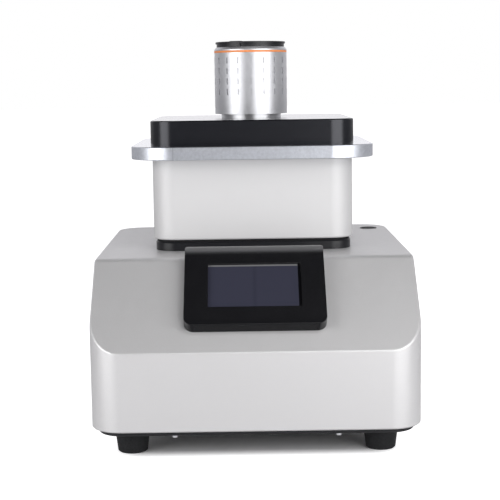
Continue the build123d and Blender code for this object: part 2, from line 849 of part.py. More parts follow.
def make_chamber_casing():
    """Square casing with a bottom flange, corner posts and the ledge that carries the deck."""
    casing = mill_square(casing_half, casing_radius, casing_bottom_z, casing_top_z)
    casing = fillet(casing.edges().group_by(Axis.Z)[0], casing_edge_radius)
    flange_top = casing_bottom_z + casing_flange
    casing -= mill_square(casing_inner_half, casing_inner_radius, flange_top, casing_top_z + past)
    ledge_low = deck_bottom_z - deck_ledge_height
    ledge = mill_square(casing_inner_half, casing_inner_radius, ledge_low, deck_bottom_z)
    ledge_half = casing_inner_half - deck_ledge
    ledge -= mill_square(ledge_half, casing_inner_radius - deck_ledge, ledge_low, deck_bottom_z)
    posts = mill_square(casing_inner_half, casing_inner_radius, flange_top, deck_bottom_z)
    clear = 2 * (casing_inner_half - casing_post)
    posts -= Pos(0, mill_y, casing_top_z / 2) * Box(clear, 2 * casing_half, casing_top_z)
    posts -= Pos(0, mill_y, casing_top_z / 2) * Box(2 * casing_half, clear, casing_top_z)
    return casing + ledge + posts - mill_opening(casing_bottom_z, flange_top)


def make_grinding_chamber():
    """Turned bowl with a boss over the shaft housing, hung from the square deck."""
    outer = chamber_radius + chamber_wall
    boss = boss_bore + boss_wall
    boss_under_z = boss_top_z - boss_cap
    rim_z = deck_bottom_z + past
    bowl = turned([
        (boss_bore, chamber_floor_z), (outer, chamber_floor_z), (outer, rim_z), (chamber_radius, rim_z),
        (chamber_radius, chamber_floor_top_z), (boss, chamber_floor_top_z), (boss, boss_top_z),
        (boss_hole_radius, boss_top_z), (boss_hole_radius, boss_under_z), (boss_bore, boss_under_z),
    ])
    deck_half = casing_inner_half - free_gap
    deck = mill_square(deck_half, casing_inner_radius - free_gap, deck_bottom_z, casing_top_z)
    deck -= post(chamber_radius, deck_bottom_z - past, casing_top_z + past)
    half_slot = striker_width / 2 + striker_slot_gap
    deck -= block(
        (striker_x - striker_slot_gap, lock_y - half_slot, deck_bottom_z - past),
        (striker_end_x + striker_slot_gap, lock_y + half_slot, casing_top_z + past),
    )
    return bowl + deck


def make_cassette():
    """Ring-shaped tray for the ground sample, with the sieve's seat at its inner top."""
    low = chamber_floor_top_z
    inner = cassette_inner_radius
    wall = cassette_wall
    seat_radius = sieve_outer_radius + free_gap
    seat_z = shelf_top_z + shelf_lip
    return turned([
        (inner, low), (cassette_radius, low), (cassette_radius, cassette_top_z),
        (cassette_radius - wall, cassette_top_z), (cassette_radius - wall, low + wall),
        (inner + wall, low + wall), (inner + wall, shelf_top_z - wall),
        (shelf_radius, shelf_top_z - wall), (shelf_radius, seat_z),
        (seat_radius, seat_z), (seat_radius, shelf_top_z), (inner, shelf_top_z),
    ])


def make_cassette_lid():
    skirt = cassette_radius + free_gap
    skirt_low = cassette_top_z - cassette_lid_skirt
    return turned([
        (cassette_lid_hole, cassette_top_z), (skirt, cassette_top_z), (skirt, skirt_low),
        (skirt + cassette_skirt_wall, skirt_low), (skirt + cassette_skirt_wall, cassette_lid_top_z),
        (cassette_lid_hole, cassette_lid_top_z),
    ])


def make_ring_sieve():
    """Perforated ring with staggered rows of slots."""
    sieve = ring(sieve_inner_radius, sieve_outer_radius, shelf_top_z, cassette_top_z)
    middle = (shelf_top_z + shelf_lip + cassette_top_z) / 2
    cutters = []
    for row in range(sieve_rows):
        height = middle + (row - (sieve_rows - 1) / 2) * sieve_slot_pitch
        slot = Pos(sieve_inner_radius, 0, height) * Box(4 * sieve_wall, sieve_slot_width, sieve_slot_height)
        stagger = row % 2 * 180 / sieve_slots
        cutters += around(sieve_slots, slot, stagger)
    return sieve - cutters


def make_mill_rotor():
    """Rotor with a dished disc, a hub and upright wedge teeth round its rim."""
    rim_top = rotor_disc_z + rotor_rim_thickness
    bore = spindle_radius + press_gap
    rotor = turned([
        (bore, shelf_top_z), (rotor_hub_radius, shelf_top_z), (rotor_hub_radius, rotor_disc_z),
        (rotor_radius, rotor_disc_z), (rotor_radius, rim_top), (rotor_cone_radius, rim_top + rotor_dish),
        (rotor_hub_radius - rotor_hub_taper, rotor_hub_top_z), (bore, rotor_hub_top_z),
    ])
    outer = rotor_radius + past
    inner = rotor_radius - tooth_depth
    outline = make_face(Polyline(
        (outer, -tooth_width / 2), (outer, tooth_width / 2), (inner, tooth_nose / 2),
        (inner, -tooth_nose / 2), close=True,
    ))
    tooth_low = rotor_disc_z + past
    tooth = extrude(Pos(0, 0, tooth_low) * outline, rotor_tooth_top_z - tooth_low)
    crown = (Part() + around(rotor_teeth, tooth)) & post(rotor_radius, rotor_disc_z, rotor_tooth_top_z)
    return rotor + crown


def make_cap_nut():
    low = rotor_hub_top_z
    nut = turned([
        (0, low), (cap_nut_radius, low), (cap_nut_radius, low + cap_nut_band),
        (cap_nut_flat, low + cap_nut_height), (0, low + cap_nut_height),
    ])
    bore_top = low + spindle_stud_length + spindle_stud_gap
    return nut - post(spindle_stud_radius + press_gap, low - past, bore_top)


def make_motor_shaft():
    low = motor_bottom_z - shield_thickness - shaft_tail
    stud_top = rotor_hub_top_z + spindle_stud_length
    return turned([
        (0, low), (shaft_radius, low), (shaft_radius, shelf_top_z), (spindle_radius, shelf_top_z),
        (spindle_radius, rotor_hub_top_z), (spindle_stud_radius, rotor_hub_top_z),
        (spindle_stud_radius, stud_top), (0, stud_top),
    ])


def make_rotor_core():
    low = motor_middle_z - core_length / 2
    return ring(shaft_radius + press_gap, stator_bore - core_gap, low, low + core_length)


def make_stator():
    """Lamination stack with the winding ends standing out at both faces."""
    half = stator_stack / 2
    coil_half = half + winding_overhang
    outer = motor_radius - motor_wall - press_gap
    stack = ring(stator_bore, outer, motor_middle_z - half, motor_middle_z + half)
    coil_in = stator_bore + winding_inset
    coil_out = outer - winding_inset
    return stack + ring(coil_in, coil_out, motor_middle_z - coil_half, motor_middle_z + coil_half)


def make_motor_housing():
    return ring(motor_radius - motor_wall, motor_radius, motor_bottom_z, motor_top_z)


def make_upper_shield():
    low = motor_top_z - shield_hub_drop
    seat = bearing_radius + press_gap
    return turned([
        (seat, low), (shield_hub_radius, low), (shield_hub_radius, motor_top_z), (motor_radius, motor_top_z),
        (motor_radius, mount_bottom_z), (shield_lip_radius, mount_bottom_z),
        (shield_lip_radius, upper_bearing_top_z), (seat, upper_bearing_top_z),
    ])


def make_lower_shield():
    low = motor_bottom_z - shield_thickness
    high = motor_bottom_z + shield_hub_drop
    seat = bearing_radius + press_gap
    return turned([
        (shield_lip_radius, low), (motor_radius, low), (motor_radius, motor_bottom_z),
        (shield_hub_radius, motor_bottom_z), (shield_hub_radius, high), (seat, high),
        (seat, lower_bearing_low_z), (shield_lip_radius, lower_bearing_low_z),
    ])


def bearing_heights():
    return [upper_bearing_top_z - bearing_width, lower_bearing_low_z]


def make_outer_race(low):
    """Outer race with its two seals, which stop just short of the inner race."""
    seal_radius = inner_race_radius + free_gap
    race_radius = bearing_radius - bearing_race
    high = low + bearing_width
    return turned([
        (seal_radius, low), (bearing_radius, low), (bearing_radius, high), (seal_radius, high),
        (seal_radius, high - bearing_seal), (race_radius, high - bearing_seal),
        (race_radius, low + bearing_seal), (seal_radius, low + bearing_seal),
    ])


def make_inner_race(low):
    return ring(shaft_radius + press_gap, inner_race_radius, low, low + bearing_width)


def make_motor_mount_plate():
    plate = mill_square(mount_half, mount_corner, mount_bottom_z, mount_top_z)
    return plate - post(mount_plate_bore, mount_bottom_z - past, mount_top_z + past)


def make_shaft_housing():
    flange_top = mount_top_z + sleeve_flange_height
    return turned([
        (sleeve_bore, mount_top_z), (sleeve_flange_radius, mount_top_z), (sleeve_flange_radius, flange_top),
        (sleeve_radius, flange_top), (sleeve_radius, sleeve_top_z), (sleeve_bore, sleeve_top_z),
    ])


def make_shaft_seal():
    return ring(shaft_radius + running_gap, sleeve_bore - press_gap, sleeve_top_z - seal_height, sleeve_top_z)


def make_lid_plate():
    """Thick plate with wide round corners, a bore for the neck and a groove for the seal."""
    plate = mill_square(lid_plate_half, lid_plate_radius, lid_bottom_z, lid_plate_top_z)
    edges = plate.edges().group_by(Axis.Z)
    plate = chamfer(list(edges[0]) + list(edges[-1]), lid_plate_edge)
    plate -= post(neck_spigot_radius + press_gap, lid_bottom_z - past, lid_plate_top_z + past)
    half = seal_ring_width / 2 + press_gap
    groove_top = lid_bottom_z + seal_groove_depth
    return plate - ring(seal_ring_radius - half, seal_ring_radius + half, lid_bottom_z - past, groove_top)


def make_lid_cover():
    cover = mill_square(lid_cover_half, lid_cover_radius, lid_plate_top_z, lid_top_z)
    cover = chamfer(cover.edges().group_by(Axis.Z)[-1], lid_cover_edge)
    inner = lid_cover_half - lid_cover_wall
    inner_radius = lid_cover_radius - lid_cover_wall
    cover -= mill_square(inner, inner_radius, lid_plate_top_z - past, lid_top_z - lid_cover_wall)
    return cover - post(neck_spigot_radius + press_gap, lid_plate_top_z, lid_top_z + past)


def make_lid_liner():
    return ring(neck_spigot_radius + press_gap, liner_radius, liner_bottom_z, lid_bottom_z)


def make_lid_seal():
    half = seal_ring_width / 2
    low = lid_bottom_z - seal_squeeze
    return ring(seal_ring_radius - half, seal_ring_radius + half, low, lid_bottom_z + seal_groove_depth)


def make_hinge_bracket(x):
    """Bracket on the rear of the casing with a knuckle at each side of the lid's arm."""
    reach = arm_width / 2 + hinge_side_gap
    low_z = hinge_z - knuckle_radius - bracket_pad_height / 2
    bracket = block(
        (x - reach - bracket_knuckle, casing_back_y, low_z),
        (x + reach + bracket_knuckle, casing_back_y + bracket_pad_thickness, low_z + bracket_pad_height),
    )
    for start in (x - reach - bracket_knuckle, x + reach):
        end = start + bracket_knuckle
        bracket += side_post(knuckle_radius, start, end, hinge_y, hinge_z)
        bracket += block((start, casing_back_y, hinge_z - knuckle_radius), (end, hinge_y, hinge_z))
    pin_reach = 2 * arm_width
    return bracket - side_post(hinge_pin_radius + press_gap, x - pin_reach, x + pin_reach, hinge_y, hinge_z)


def make_hinge_arm(x):
    """Arm under the lid plate that turns on the pin."""
    half = arm_width / 2
    rib = arm_rib / 2
    pad = arm_pad_depth / 2
    pad_low = lid_bottom_z - arm_pad_thickness
    arm = block((x - half, hinge_y - pad, pad_low), (x + half, hinge_y + pad, lid_bottom_z))
    arm += side_post(knuckle_radius, x - half, x + half, hinge_y, hinge_z)
    arm += block((x - half, hinge_y - rib, hinge_z), (x + half, hinge_y + rib, pad_low + past))
    return arm - side_post(hinge_pin_radius + running_gap, x - arm_width, x + arm_width, hinge_y, hinge_z)


def make_hinge_pin(x):
    reach = arm_width / 2 + hinge_side_gap + bracket_knuckle
    return side_post(hinge_pin_radius, x - reach, x + reach, hinge_y, hinge_z)


def make_lock_solenoid():
    """Lock body that hangs from the deck, with the bolt's bore in its outer end."""
    half = lock_body_width / 2
    body = block(
        (lock_start_x, lock_y - half, deck_bottom_z - lock_body_height),
        (lock_end_x, lock_y + half, deck_bottom_z),
    )
    bore_start_x = lock_start_x + lock_bore_start
    return body - side_post(bolt_radius + running_gap, bore_start_x, striker_x, lock_y, lock_z)


def make_lock_bolt():
    tip = lock_end_x + bolt_lead
    bolt = side_post(bolt_radius, tip - bolt_length, tip, lock_y, lock_z)
    return chamfer(bolt.edges().sort_by(Axis.X)[-1], bolt_edge)


def make_striker():
    """Plate that hangs from the lid, with a window for the bolt."""
    half = striker_width / 2
    window = bolt_radius + striker_window_gap
    striker = block(
        (striker_x, lock_y - half, lid_bottom_z - striker_length),
        (striker_end_x, lock_y + half, lid_bottom_z),
    )
    return striker - block(
        (striker_x - past, lock_y - window, lock_z - window),
        (striker_end_x + past, lock_y + window, lock_z + window),
    )


def make_feed_neck():
    """Neck ring with a spigot through the lid and the feed tube inside it."""
    tube = feed_bore + feed_tube_wall
    spigot_in = neck_spigot_radius - neck_spigot_wall
    low = liner_bottom_z
    web = lid_top_z - neck_spigot_wall
    return turned([
        (feed_bore, low), (tube, low), (tube, web), (spigot_in, web), (spigot_in, low),
        (neck_spigot_radius, low), (neck_spigot_radius, lid_top_z), (neck_radius, lid_top_z),
        (neck_radius, neck_top_z), (feed_bore, neck_top_z),
    ])


def make_hopper_sleeve():
    """Turned sleeve with a bevelled rim, a groove for the ring and rows of short grip slots."""
    inner = hopper_radius - hopper_wall
    groove = hopper_radius - ring_depth
    groove_high = hopper_top_z - ring_drop
    groove_low = groove_high - ring_height
    bevel_low = hopper_top_z - hopper_bevel_height
    floor_z = neck_top_z + hopper_floor
    tube = funnel_throat + funnel_throat_wall + press_gap
    sleeve = turned([
        (tube, neck_top_z), (hopper_radius, neck_top_z), (hopper_radius, groove_low), (groove, groove_low),
        (groove, groove_high), (hopper_radius, groove_high), (hopper_radius, bevel_low),
        (hopper_radius - hopper_bevel, hopper_top_z), (inner, hopper_top_z), (inner, floor_z),
        (tube, floor_z),
    ])
    cutters = []
    for index in range(grip_slots):
        height = hopper_top_z - grip_start - index * grip_pitch
        slot = Pos(hopper_radius, 0, height) * Box(2 * grip_depth, grip_width, grip_length)
        cutters += around(grip_rows, slot, -90)
    return sleeve - cutters


def make_hopper_funnel():
    """Thin funnel inside the sleeve, from its rim to the tube that enters the neck."""
    rim_low = hopper_top_z - funnel_rim_height
    tube = funnel_throat + funnel_throat_wall
    return turned([
        (funnel_throat, funnel_tube_end_z), (tube, funnel_tube_end_z), (tube, funnel_throat_z - past),
        (funnel_radius, rim_low - past), (funnel_radius, hopper_top_z), (funnel_mouth, hopper_top_z),
        (funnel_mouth, rim_low), (funnel_throat, funnel_throat_z),
    ])


def make_hopper_ring():
    high = hopper_top_z - ring_drop - press_gap
    low = high - ring_height + 2 * press_gap
    return ring(hopper_radius - ring_depth + press_gap, hopper_radius + ring_proud, low, high)


def make_feed_cap():
    """Cap with a plug, a narrower waist, a rim and a grip tab turned to the left of the front."""
    plug = funnel_mouth - free_gap
    plug_low = hopper_top_z - cap_plug_depth
    waist_top = hopper_top_z + cap_waist_height
    rim_top = waist_top + cap_rim_height
    cap = turned([
        (0, plug_low), (plug, plug_low), (plug, hopper_top_z), (cap_waist_radius, hopper_top_z),
        (cap_waist_radius, waist_top), (cap_rim_radius, waist_top), (cap_rim_radius, rim_top - cap_rim_edge),
        (cap_rim_radius - cap_rim_edge, rim_top), (0, rim_top),
    ])
    tab_top = rim_top + cap_tab_rise
    tab_height = tab_top - hopper_top_z
    half_foot = cap_tab_foot_width / 2
    half_top = cap_tab_top_width / 2
    outline = make_face(Polyline(
        (-half_foot, 0), (half_foot, 0), (half_top, tab_height), (-half_top, tab_height), close=True,
    ))
    face = Plane(origin=(cap_waist_radius - cap_tab_root, 0, hopper_top_z), x_dir=(0, 1, 0), z_dir=(1, 0, 0))
    tab = around(1, extrude(face * outline, 2 * cap_tab_root), -90 - cap_tab_angle)[0]
    return cap + (tab & post(cap_rim_radius + cap_tab_proud, hopper_top_z, tab_top))


outside = base_outside()
save("base_housing", make_base_housing(outside))
save("base_plate", make_base_plate())
foot_names = ("foot_front_left", "foot_front_right", "foot_rear_left", "foot_rear_right")
for name, place in zip(foot_names, foot_places()):
    save(name, make_foot(*place))
save("base_plate_screws", *[make_tray_screw(x, y) for x, y in tray_screw_places()])
save("motor_drive", make_motor_drive())

save("display_bezel", make_display_bezel(outside))
save("display_glass", make_display_glass())
save("lcd_module", make_lcd_module())
save("control_board", make_control_board())

save("rear_panel", make_rear_panel())
save("power_entry_module", make_power_entry_module())
save("mains_rocker", make_mains_rocker())
save("fan_frame", make_fan_frame())
save("fan_impeller", make_fan_impeller())
save("power_button_bezel", make_button_bezel())
save("power_button", make_power_button())

save("motor_mount_plate", make_motor_mount_plate())
save("motor_housing", make_motor_housing())
save("motor_stator", make_stator())
save("motor_upper_shield", make_upper_shield())
save("motor_lower_shield", make_lower_shield())
save("bearing_outer_races", *[make_outer_race(low) for low in bearing_heights()])
save("bearing_inner_races", *[make_inner_race(low) for low in bearing_heights()])
save("motor_shaft", make_motor_shaft())
save("motor_rotor_core", make_rotor_core())
save("shaft_housing", make_shaft_housing())
save("shaft_seal", make_shaft_seal())

save("plinth", make_plinth())
save("chamber_gasket", make_gasket())
save("chamber_casing", make_chamber_casing())
save("grinding_chamber", make_grinding_chamber())
save("collecting_cassette", make_cassette())
save("cassette_lid", make_cassette_lid())
save("ring_sieve", make_ring_sieve())
save("mill_rotor", make_mill_rotor())
save("rotor_cap_nut", make_cap_nut())

save("hinge_brackets", make_hinge_bracket(-hinge_x), make_hinge_bracket(hinge_x))
save("hinge_pins", make_hinge_pin(-hinge_x), make_hinge_pin(hinge_x))
save("lid_hinge_arms", make_hinge_arm(-hinge_x), make_hinge_arm(hinge_x))
save("lock_solenoid", make_lock_solenoid())
save("lock_bolt", make_lock_bolt())
save("lid_striker", make_striker())
save("lid_plate", make_lid_plate())
save("lid_cover", make_lid_cover())
save("lid_liner", make_lid_liner())
save("lid_seal", make_lid_seal())
save("feed_neck", make_feed_neck())

save("hopper_sleeve", make_hopper_sleeve())
save("hopper_funnel", make_hopper_funnel())
save("hopper_ring", make_hopper_ring())
save("feed_cap", make_feed_cap())
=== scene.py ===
"""Ultra centrifugal mill for a laboratory bench: finishes, small parts, floor, lights and camera."""

import json
import math

import bmesh
import bpy
from bpy.props import FloatProperty, FloatVectorProperty, PointerProperty
from mathutils import Matrix, Vector


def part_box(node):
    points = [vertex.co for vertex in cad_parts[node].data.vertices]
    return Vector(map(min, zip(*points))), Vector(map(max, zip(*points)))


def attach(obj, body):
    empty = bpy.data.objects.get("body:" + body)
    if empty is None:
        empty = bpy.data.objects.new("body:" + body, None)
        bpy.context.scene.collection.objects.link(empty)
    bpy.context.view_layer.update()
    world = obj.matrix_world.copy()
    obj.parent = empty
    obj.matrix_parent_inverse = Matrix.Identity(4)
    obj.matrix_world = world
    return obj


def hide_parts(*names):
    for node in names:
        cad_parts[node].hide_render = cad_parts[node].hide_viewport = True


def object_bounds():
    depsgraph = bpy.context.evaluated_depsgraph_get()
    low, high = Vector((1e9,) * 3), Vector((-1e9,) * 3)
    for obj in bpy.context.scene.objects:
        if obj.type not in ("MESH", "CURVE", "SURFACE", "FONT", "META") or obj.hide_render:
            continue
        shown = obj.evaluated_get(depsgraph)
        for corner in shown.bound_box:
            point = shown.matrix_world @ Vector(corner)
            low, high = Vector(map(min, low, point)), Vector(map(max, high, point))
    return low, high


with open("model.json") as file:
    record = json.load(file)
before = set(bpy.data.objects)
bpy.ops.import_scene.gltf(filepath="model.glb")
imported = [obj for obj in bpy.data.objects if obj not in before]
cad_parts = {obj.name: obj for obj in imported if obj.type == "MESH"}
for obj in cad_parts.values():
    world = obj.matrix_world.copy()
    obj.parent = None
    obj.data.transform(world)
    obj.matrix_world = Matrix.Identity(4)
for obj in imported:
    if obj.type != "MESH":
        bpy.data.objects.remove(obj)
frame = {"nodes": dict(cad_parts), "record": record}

bl_info = {
    "name": "Laboratory mill",
    "version": (1, 0, 0),
    "blender": (4, 5, 0),
    "location": "View3D > Sidebar > Mill",
    "description": "Dresses a bench mill with a touch display, a hinged lid and a feed hopper",
    "category": "Object",
}

MM = 0.001
WHITE = (1.0, 1.0, 1.0, 1.0)

# Looks of the finishes
TURNED_RINGS = (0.01, 0.01, 1.0)
IRON_LAYERS = (0.02, 0.02, 1.0)
PLATE_LINES = (0.03, 0.03, 1.0)
COAT_ROUGHNESS = 0.05
TOP_SKIN = 0.3 * MM
PLATE_POLISH = 55 * MM
POLISH_FADE = 14 * MM
POLISHED_ROUGHNESS = 0.4
PLATE_TOP_ROUGHNESS = 0.1
WITNESS_LINE = 0.4 * MM
WITNESS_TONE = 0.72
COVER_TOP_COAT = 0.9
COVER_TOP_ROUGHNESS = 0.1
COVER_TINT = (0.92, 0.93, 1.0, 1.0)
BEZEL_LIP = 9 * MM
LIP_SPECULAR = 0.15
BEZEL_SPECULAR = 0.7
# Painted sheen on the bezel's rolled top: the height of its band and its pale colour
PAINTED_SHEEN_HEIGHT = 9 * MM
BEZEL_PAINTED_SHEEN = (0.12, 0.12, 0.124, 1.0)
GLASS_MARGIN = 6 * MM
SEAM_WIDTH = 4 * MM
CLOUD_SHARE = 0.6
# Pale strip along the display's top: painted highlight of the window's lit top edge
PAINTED_EDGE_HIGHLIGHT = (0.16, 0.16, 0.165, 1.0)
BORDER_BLACK = (0.003, 0.003, 0.004, 1.0)

# Limits for reading the meshes, and the small shapes
WELD = 0.002 * MM
SAME_PLANE = 0.05 * MM
FLAT_JOINT = math.radians(0.4)
ROUND_JOINT = math.radians(0.05)
RIM_ANGLE = math.radians(60)
LEAN_LIMIT = 0.3
TANGENT_LIMIT = 0.08
AREA_WEIGHT = 80
EDGE_SEGMENTS = 2
ROLL_SEGMENTS = 4
HEAD_SIDES = 36
TWIST_SEED = 7

CAD_BOX = [list(corner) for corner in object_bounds()]
NODE_BODY = {node: body for body, nodes in frame["record"]["behaviour"]["bodies"].items() for node in nodes}
NODE_SLOT = {part["node"]: part["material_slot"] for part in frame["record"]["subparts"]}


def middle_of(node):
    """Centre of a node's box."""
    low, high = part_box(node)
    return (low + high) / 2


MILL_AXIS = middle_of("motor_shaft")


def property_maker(kind, **settings):
    """Maker of properties of one kind, each with its name, description and default."""
    def made(name, description, default, **limits):
        return kind(name=name, description=description, default=default, **settings, **limits)
    return made


colour_property = property_maker(FloatVectorProperty, subtype="COLOR", size=3, min=0, max=1)
place_property = property_maker(FloatVectorProperty, subtype="XYZ", unit="LENGTH")
span_property = property_maker(FloatVectorProperty, size=2, min=-1, max=1)
length_property = property_maker(FloatProperty, unit="LENGTH")
share_property = property_maker(FloatProperty, subtype="FACTOR")
power_property = property_maker(FloatProperty, unit="POWER")
level_property = property_maker(FloatProperty, min=0, max=2)
lens_property = property_maker(FloatProperty, subtype="DISTANCE_CAMERA")


def angle_property(name, description, degrees):
    """Angle that is given in degrees."""
    return FloatProperty(
        name=name, description=description, default=math.radians(degrees), subtype="ANGLE", unit="ROTATION")


class MillColours(bpy.types.PropertyGroup):
    """Colours of the painted, moulded and bare parts."""

    housing: colour_property("Housing", "Light grey paint of the base housing", (0.643, 0.637, 0.642))
    casing: colour_property("Casing", "Satin silver of the chamber casing", (0.612, 0.608, 0.612))
    plate: colour_property("Lid plate", "Bare milled plate of the lid", (0.745, 0.770, 0.830))
    stainless: colour_property("Stainless", "Turned steel of hopper and chamber", (0.785, 0.790, 0.820))
    black: colour_property("Black coat", "Satin black of the lid cover", (0.0050, 0.0054, 0.0074))
    bezel: colour_property("Bezel", "Gloss black of the display bezel", (0.0062, 0.0062, 0.0074))
    display: colour_property("Display", "Unlit display behind its glass", (0.037, 0.038, 0.058))
    rubber: colour_property("Rubber", "Black rubber of the feet", (0.0105, 0.0108, 0.0120))
    sponge: colour_property("Sponge", "Sponge rubber of the seals", (0.010, 0.010, 0.011))
    ring: colour_property("Ring", "Orange ring of the hopper", (0.800, 0.265, 0.085))
    board: colour_property("Board", "Green of the circuit board", (0.020, 0.150, 0.060))
    module: colour_property("Module", "Grey sheet of the display module", (0.10, 0.10, 0.105))
    casting: colour_property("Casting", "Cast motor parts", (0.42, 0.43, 0.44))
    iron: colour_property("Iron", "Laminations of the motor", (0.16, 0.13, 0.11))
    # Painted shade for the bottom of a screw's socket
    socket: colour_property("Socket", "Bottom of a screw's socket", (0.05, 0.05, 0.052))


class MillSizes(bpy.types.PropertyGroup):
    """Sizes of the details that are added to the pieces."""

    smooth_angle: angle_property("Smooth angle", "Edges sharper than this stay crisp", 32)
    edge_round: length_property("Edge rounding", "Small rounding of machined edges", 0.35 * MM)
    edge_roll: length_property("Bezel edges", "Rounding of the display bezel's edges", 0.9 * MM)
    tray_head: length_property("Tray screw", "Radius of a tray screw's head", 3.5 * MM)
    panel_head: length_property("Panel screw", "Radius of a rear panel screw's head", 2.9 * MM)
    panel_head_height: length_property("Panel screw height", "How far a rear screw stands out", 1.8 * MM)
    panel_inset: length_property("Panel screw inset", "From the rear panel's edge to its screws", 4.7 * MM)
    fan_inset: length_property("Fan screw inset", "From the fan frame's edge to its screws", 4.25 * MM)
    deck_head: length_property("Deck screw", "Radius of a flush screw's head", 4.5 * MM)
    flush_height: length_property("Flush height", "How far a countersunk head stands out", 0.15 * MM)
    deck_reach: length_property(
        "Deck screw place", "From the mill's axis to the deck screws, along each side", 107.2 * MM)
    lid_reach: length_property(
        "Lid screw place", "From the mill's axis to the screws under the lid, along each side", 97.9 * MM)
    crown_share: share_property(
        "Crown", "Width of a head's flat top as a share of the head", 0.8, min=0.6, max=1)
    socket_share: share_property(
        "Socket width", "Width of a hexagon socket as a share of its head", 0.5, min=0.2, max=0.7)
    socket_depth: share_property(
        "Socket depth", "Depth of a hexagon socket as a share of its head's height", 0.8, min=0.2, max=0.95)
    display_border: length_property("Display border", "Black border at the display's right", 3.6 * MM)
    # Height of the painted highlight along the display's top
    display_strip: length_property(
        "Display top highlight", "From the glass's top edge down to the painted highlight's lower edge", 5.6 * MM)
    bezel_bow: length_property("Bezel bow", "How far the bezel's top rolls forward", 9 * MM)
    bezel_lean: angle_property("Bezel lean", "Steepest tilt of the rolled top", 80)


class MillStudio(bpy.types.PropertyGroup):
    """Light and camera."""

    lens: lens_property("Lens", "Focal length on the sensor", 95.74)
    sensor: lens_property("Sensor", "Width of the camera's sensor", 36)
    camera_place: place_property("Camera place", "Where the camera stands", (-0.0098, -1.7158, 0.4334))
    camera_pitch: angle_property("Camera pitch", "How far the camera looks down", 7.28)
    camera_yaw: angle_property("Camera yaw", "How far the camera looks to the right", 0.181)
    camera_roll: angle_property("Camera roll", "How far the camera leans to the right", -0.811)
    light_distance: length_property("Light distance", "From the object to the side lights", 1.7)
    light_height: length_property("Light height", "Height of the side lights' middle", 0.60)
    light_tall: length_property("Light length", "How tall the side lights are", 1.15)
    left_angle: angle_property("Left light", "Angle of the left light from the front", -49)
    left_width: length_property("Left width", "Width of the left light", 1.2)
    left_power: power_property("Left power", "Power of the left light", 15.0)
    right_angle: angle_property("Right light", "Angle of the right light from the front", 37)
    right_width: length_property("Right width", "Width of the right light", 1.6)
    right_power: power_property("Right power", "Power of the right light", 20.5)
    upper_place: place_property("Upper light", "Where the upper light hangs", (0.55, -1.3, 2.05))
    upper_width: length_property("Upper width", "Width of the upper light", 1.6)
    upper_depth: length_property("Upper depth", "Depth of the upper light", 0.9)
    upper_power: power_property("Upper power", "Power of the upper light", 11.5)
    front_level: level_property("Front wall", "Brightness of the room in front of the object", 0.12)
    side_level: level_property("Side walls", "Brightness of the room beside the object", 0.38)
    back_level: level_property("Back wall", "Brightness of the wall behind the object", 1.0)
    ceiling_level: level_property("Ceiling", "Brightness of the ceiling", 0.01)
    front_span: span_property("Front span", "Where the front wall is full and ends", (-0.9, -0.3))
    back_span: span_property("Back span", "Where the back wall begins and is full", (0.30, 0.85))
    ceiling_span: span_property("Ceiling span", "Where the ceiling begins and is full", (0.45, 0.9))
    room_tint: colour_property("Room tint", "Colour of the room's light", (0.975, 0.968, 1.0))
    floor_paint: colour_property("Floor", "Matt paint of the floor", (0.86, 0.858, 0.868))
    floor_lift: level_property("Floor lift", "How much paler the open floor looks to the camera", 1.0)
    shade_reach: length_property("Shade reach", "How far the object's shade spreads on the floor", 0.05)


class NodeMaker:
    """Short ways to add and join the nodes of a tree."""

    def put(self, socket, value):
        """Set a socket to a value, or feed it from another node."""
        if isinstance(value, bpy.types.NodeSocket):
            self.tree.links.new(value, socket)
        else:
            socket.default_value = value

    def add(self, kind, settings=(), **values):
        """Node with its settings, and its inputs by name with _ for a space."""
        node = self.tree.nodes.new(kind)
        for name, value in settings:
            setattr(node, name, value)
        for name, value in values.items():
            self.put(node.inputs[name.replace("_", " ")], value)
        return node

    def math(self, operation, *values):
        """Result of a sum or another operation on numbers."""
        node = self.add("ShaderNodeMath", (("operation", operation),))
        for socket, value in zip(node.inputs, values):
            self.put(socket, value)
        return node.outputs["Value"]

    def apart(self, vector):
        """The X, Y and Z of a vector."""
        return self.add("ShaderNodeSeparateXYZ", Vector=vector).outputs

    def together(self, **parts):
        """Vector from its X, Y and Z."""
        return self.add("ShaderNodeCombineXYZ", **parts).outputs["Vector"]


def in_use(sockets):
    """First socket that a node's settings leave in use."""
    return next(socket for socket in sockets if socket.enabled)


class Graph(NodeMaker):
    """Node tree of a material or a world."""

    def __init__(self, owner):
        self.owner = owner
        owner.use_nodes = True
        self.tree = owner.node_tree
        self.tree.nodes.clear()

    def between(self, factor, low, high, from_low=0.3, from_high=0.7, smooth=False):
        """Value between two limits, led by a factor."""
        node = self.add("ShaderNodeMapRange", Value=factor, From_Min=from_low, From_Max=from_high)
        node.interpolation_type = "SMOOTHSTEP" if smooth else "LINEAR"
        self.put(node.inputs["To Min"], low)
        self.put(node.inputs["To Max"], high)
        return node.outputs["Result"]

    def blend(self, factor, first, second):
        """Colour between two colours."""
        node = self.add("ShaderNodeMix", (("data_type", "RGBA"),))
        colours = [socket for socket in node.inputs if socket.type == "RGBA"]
        self.put(node.inputs["Factor"], factor)
        self.put(colours[0], first)
        self.put(colours[1], second)
        return in_use(node.outputs)


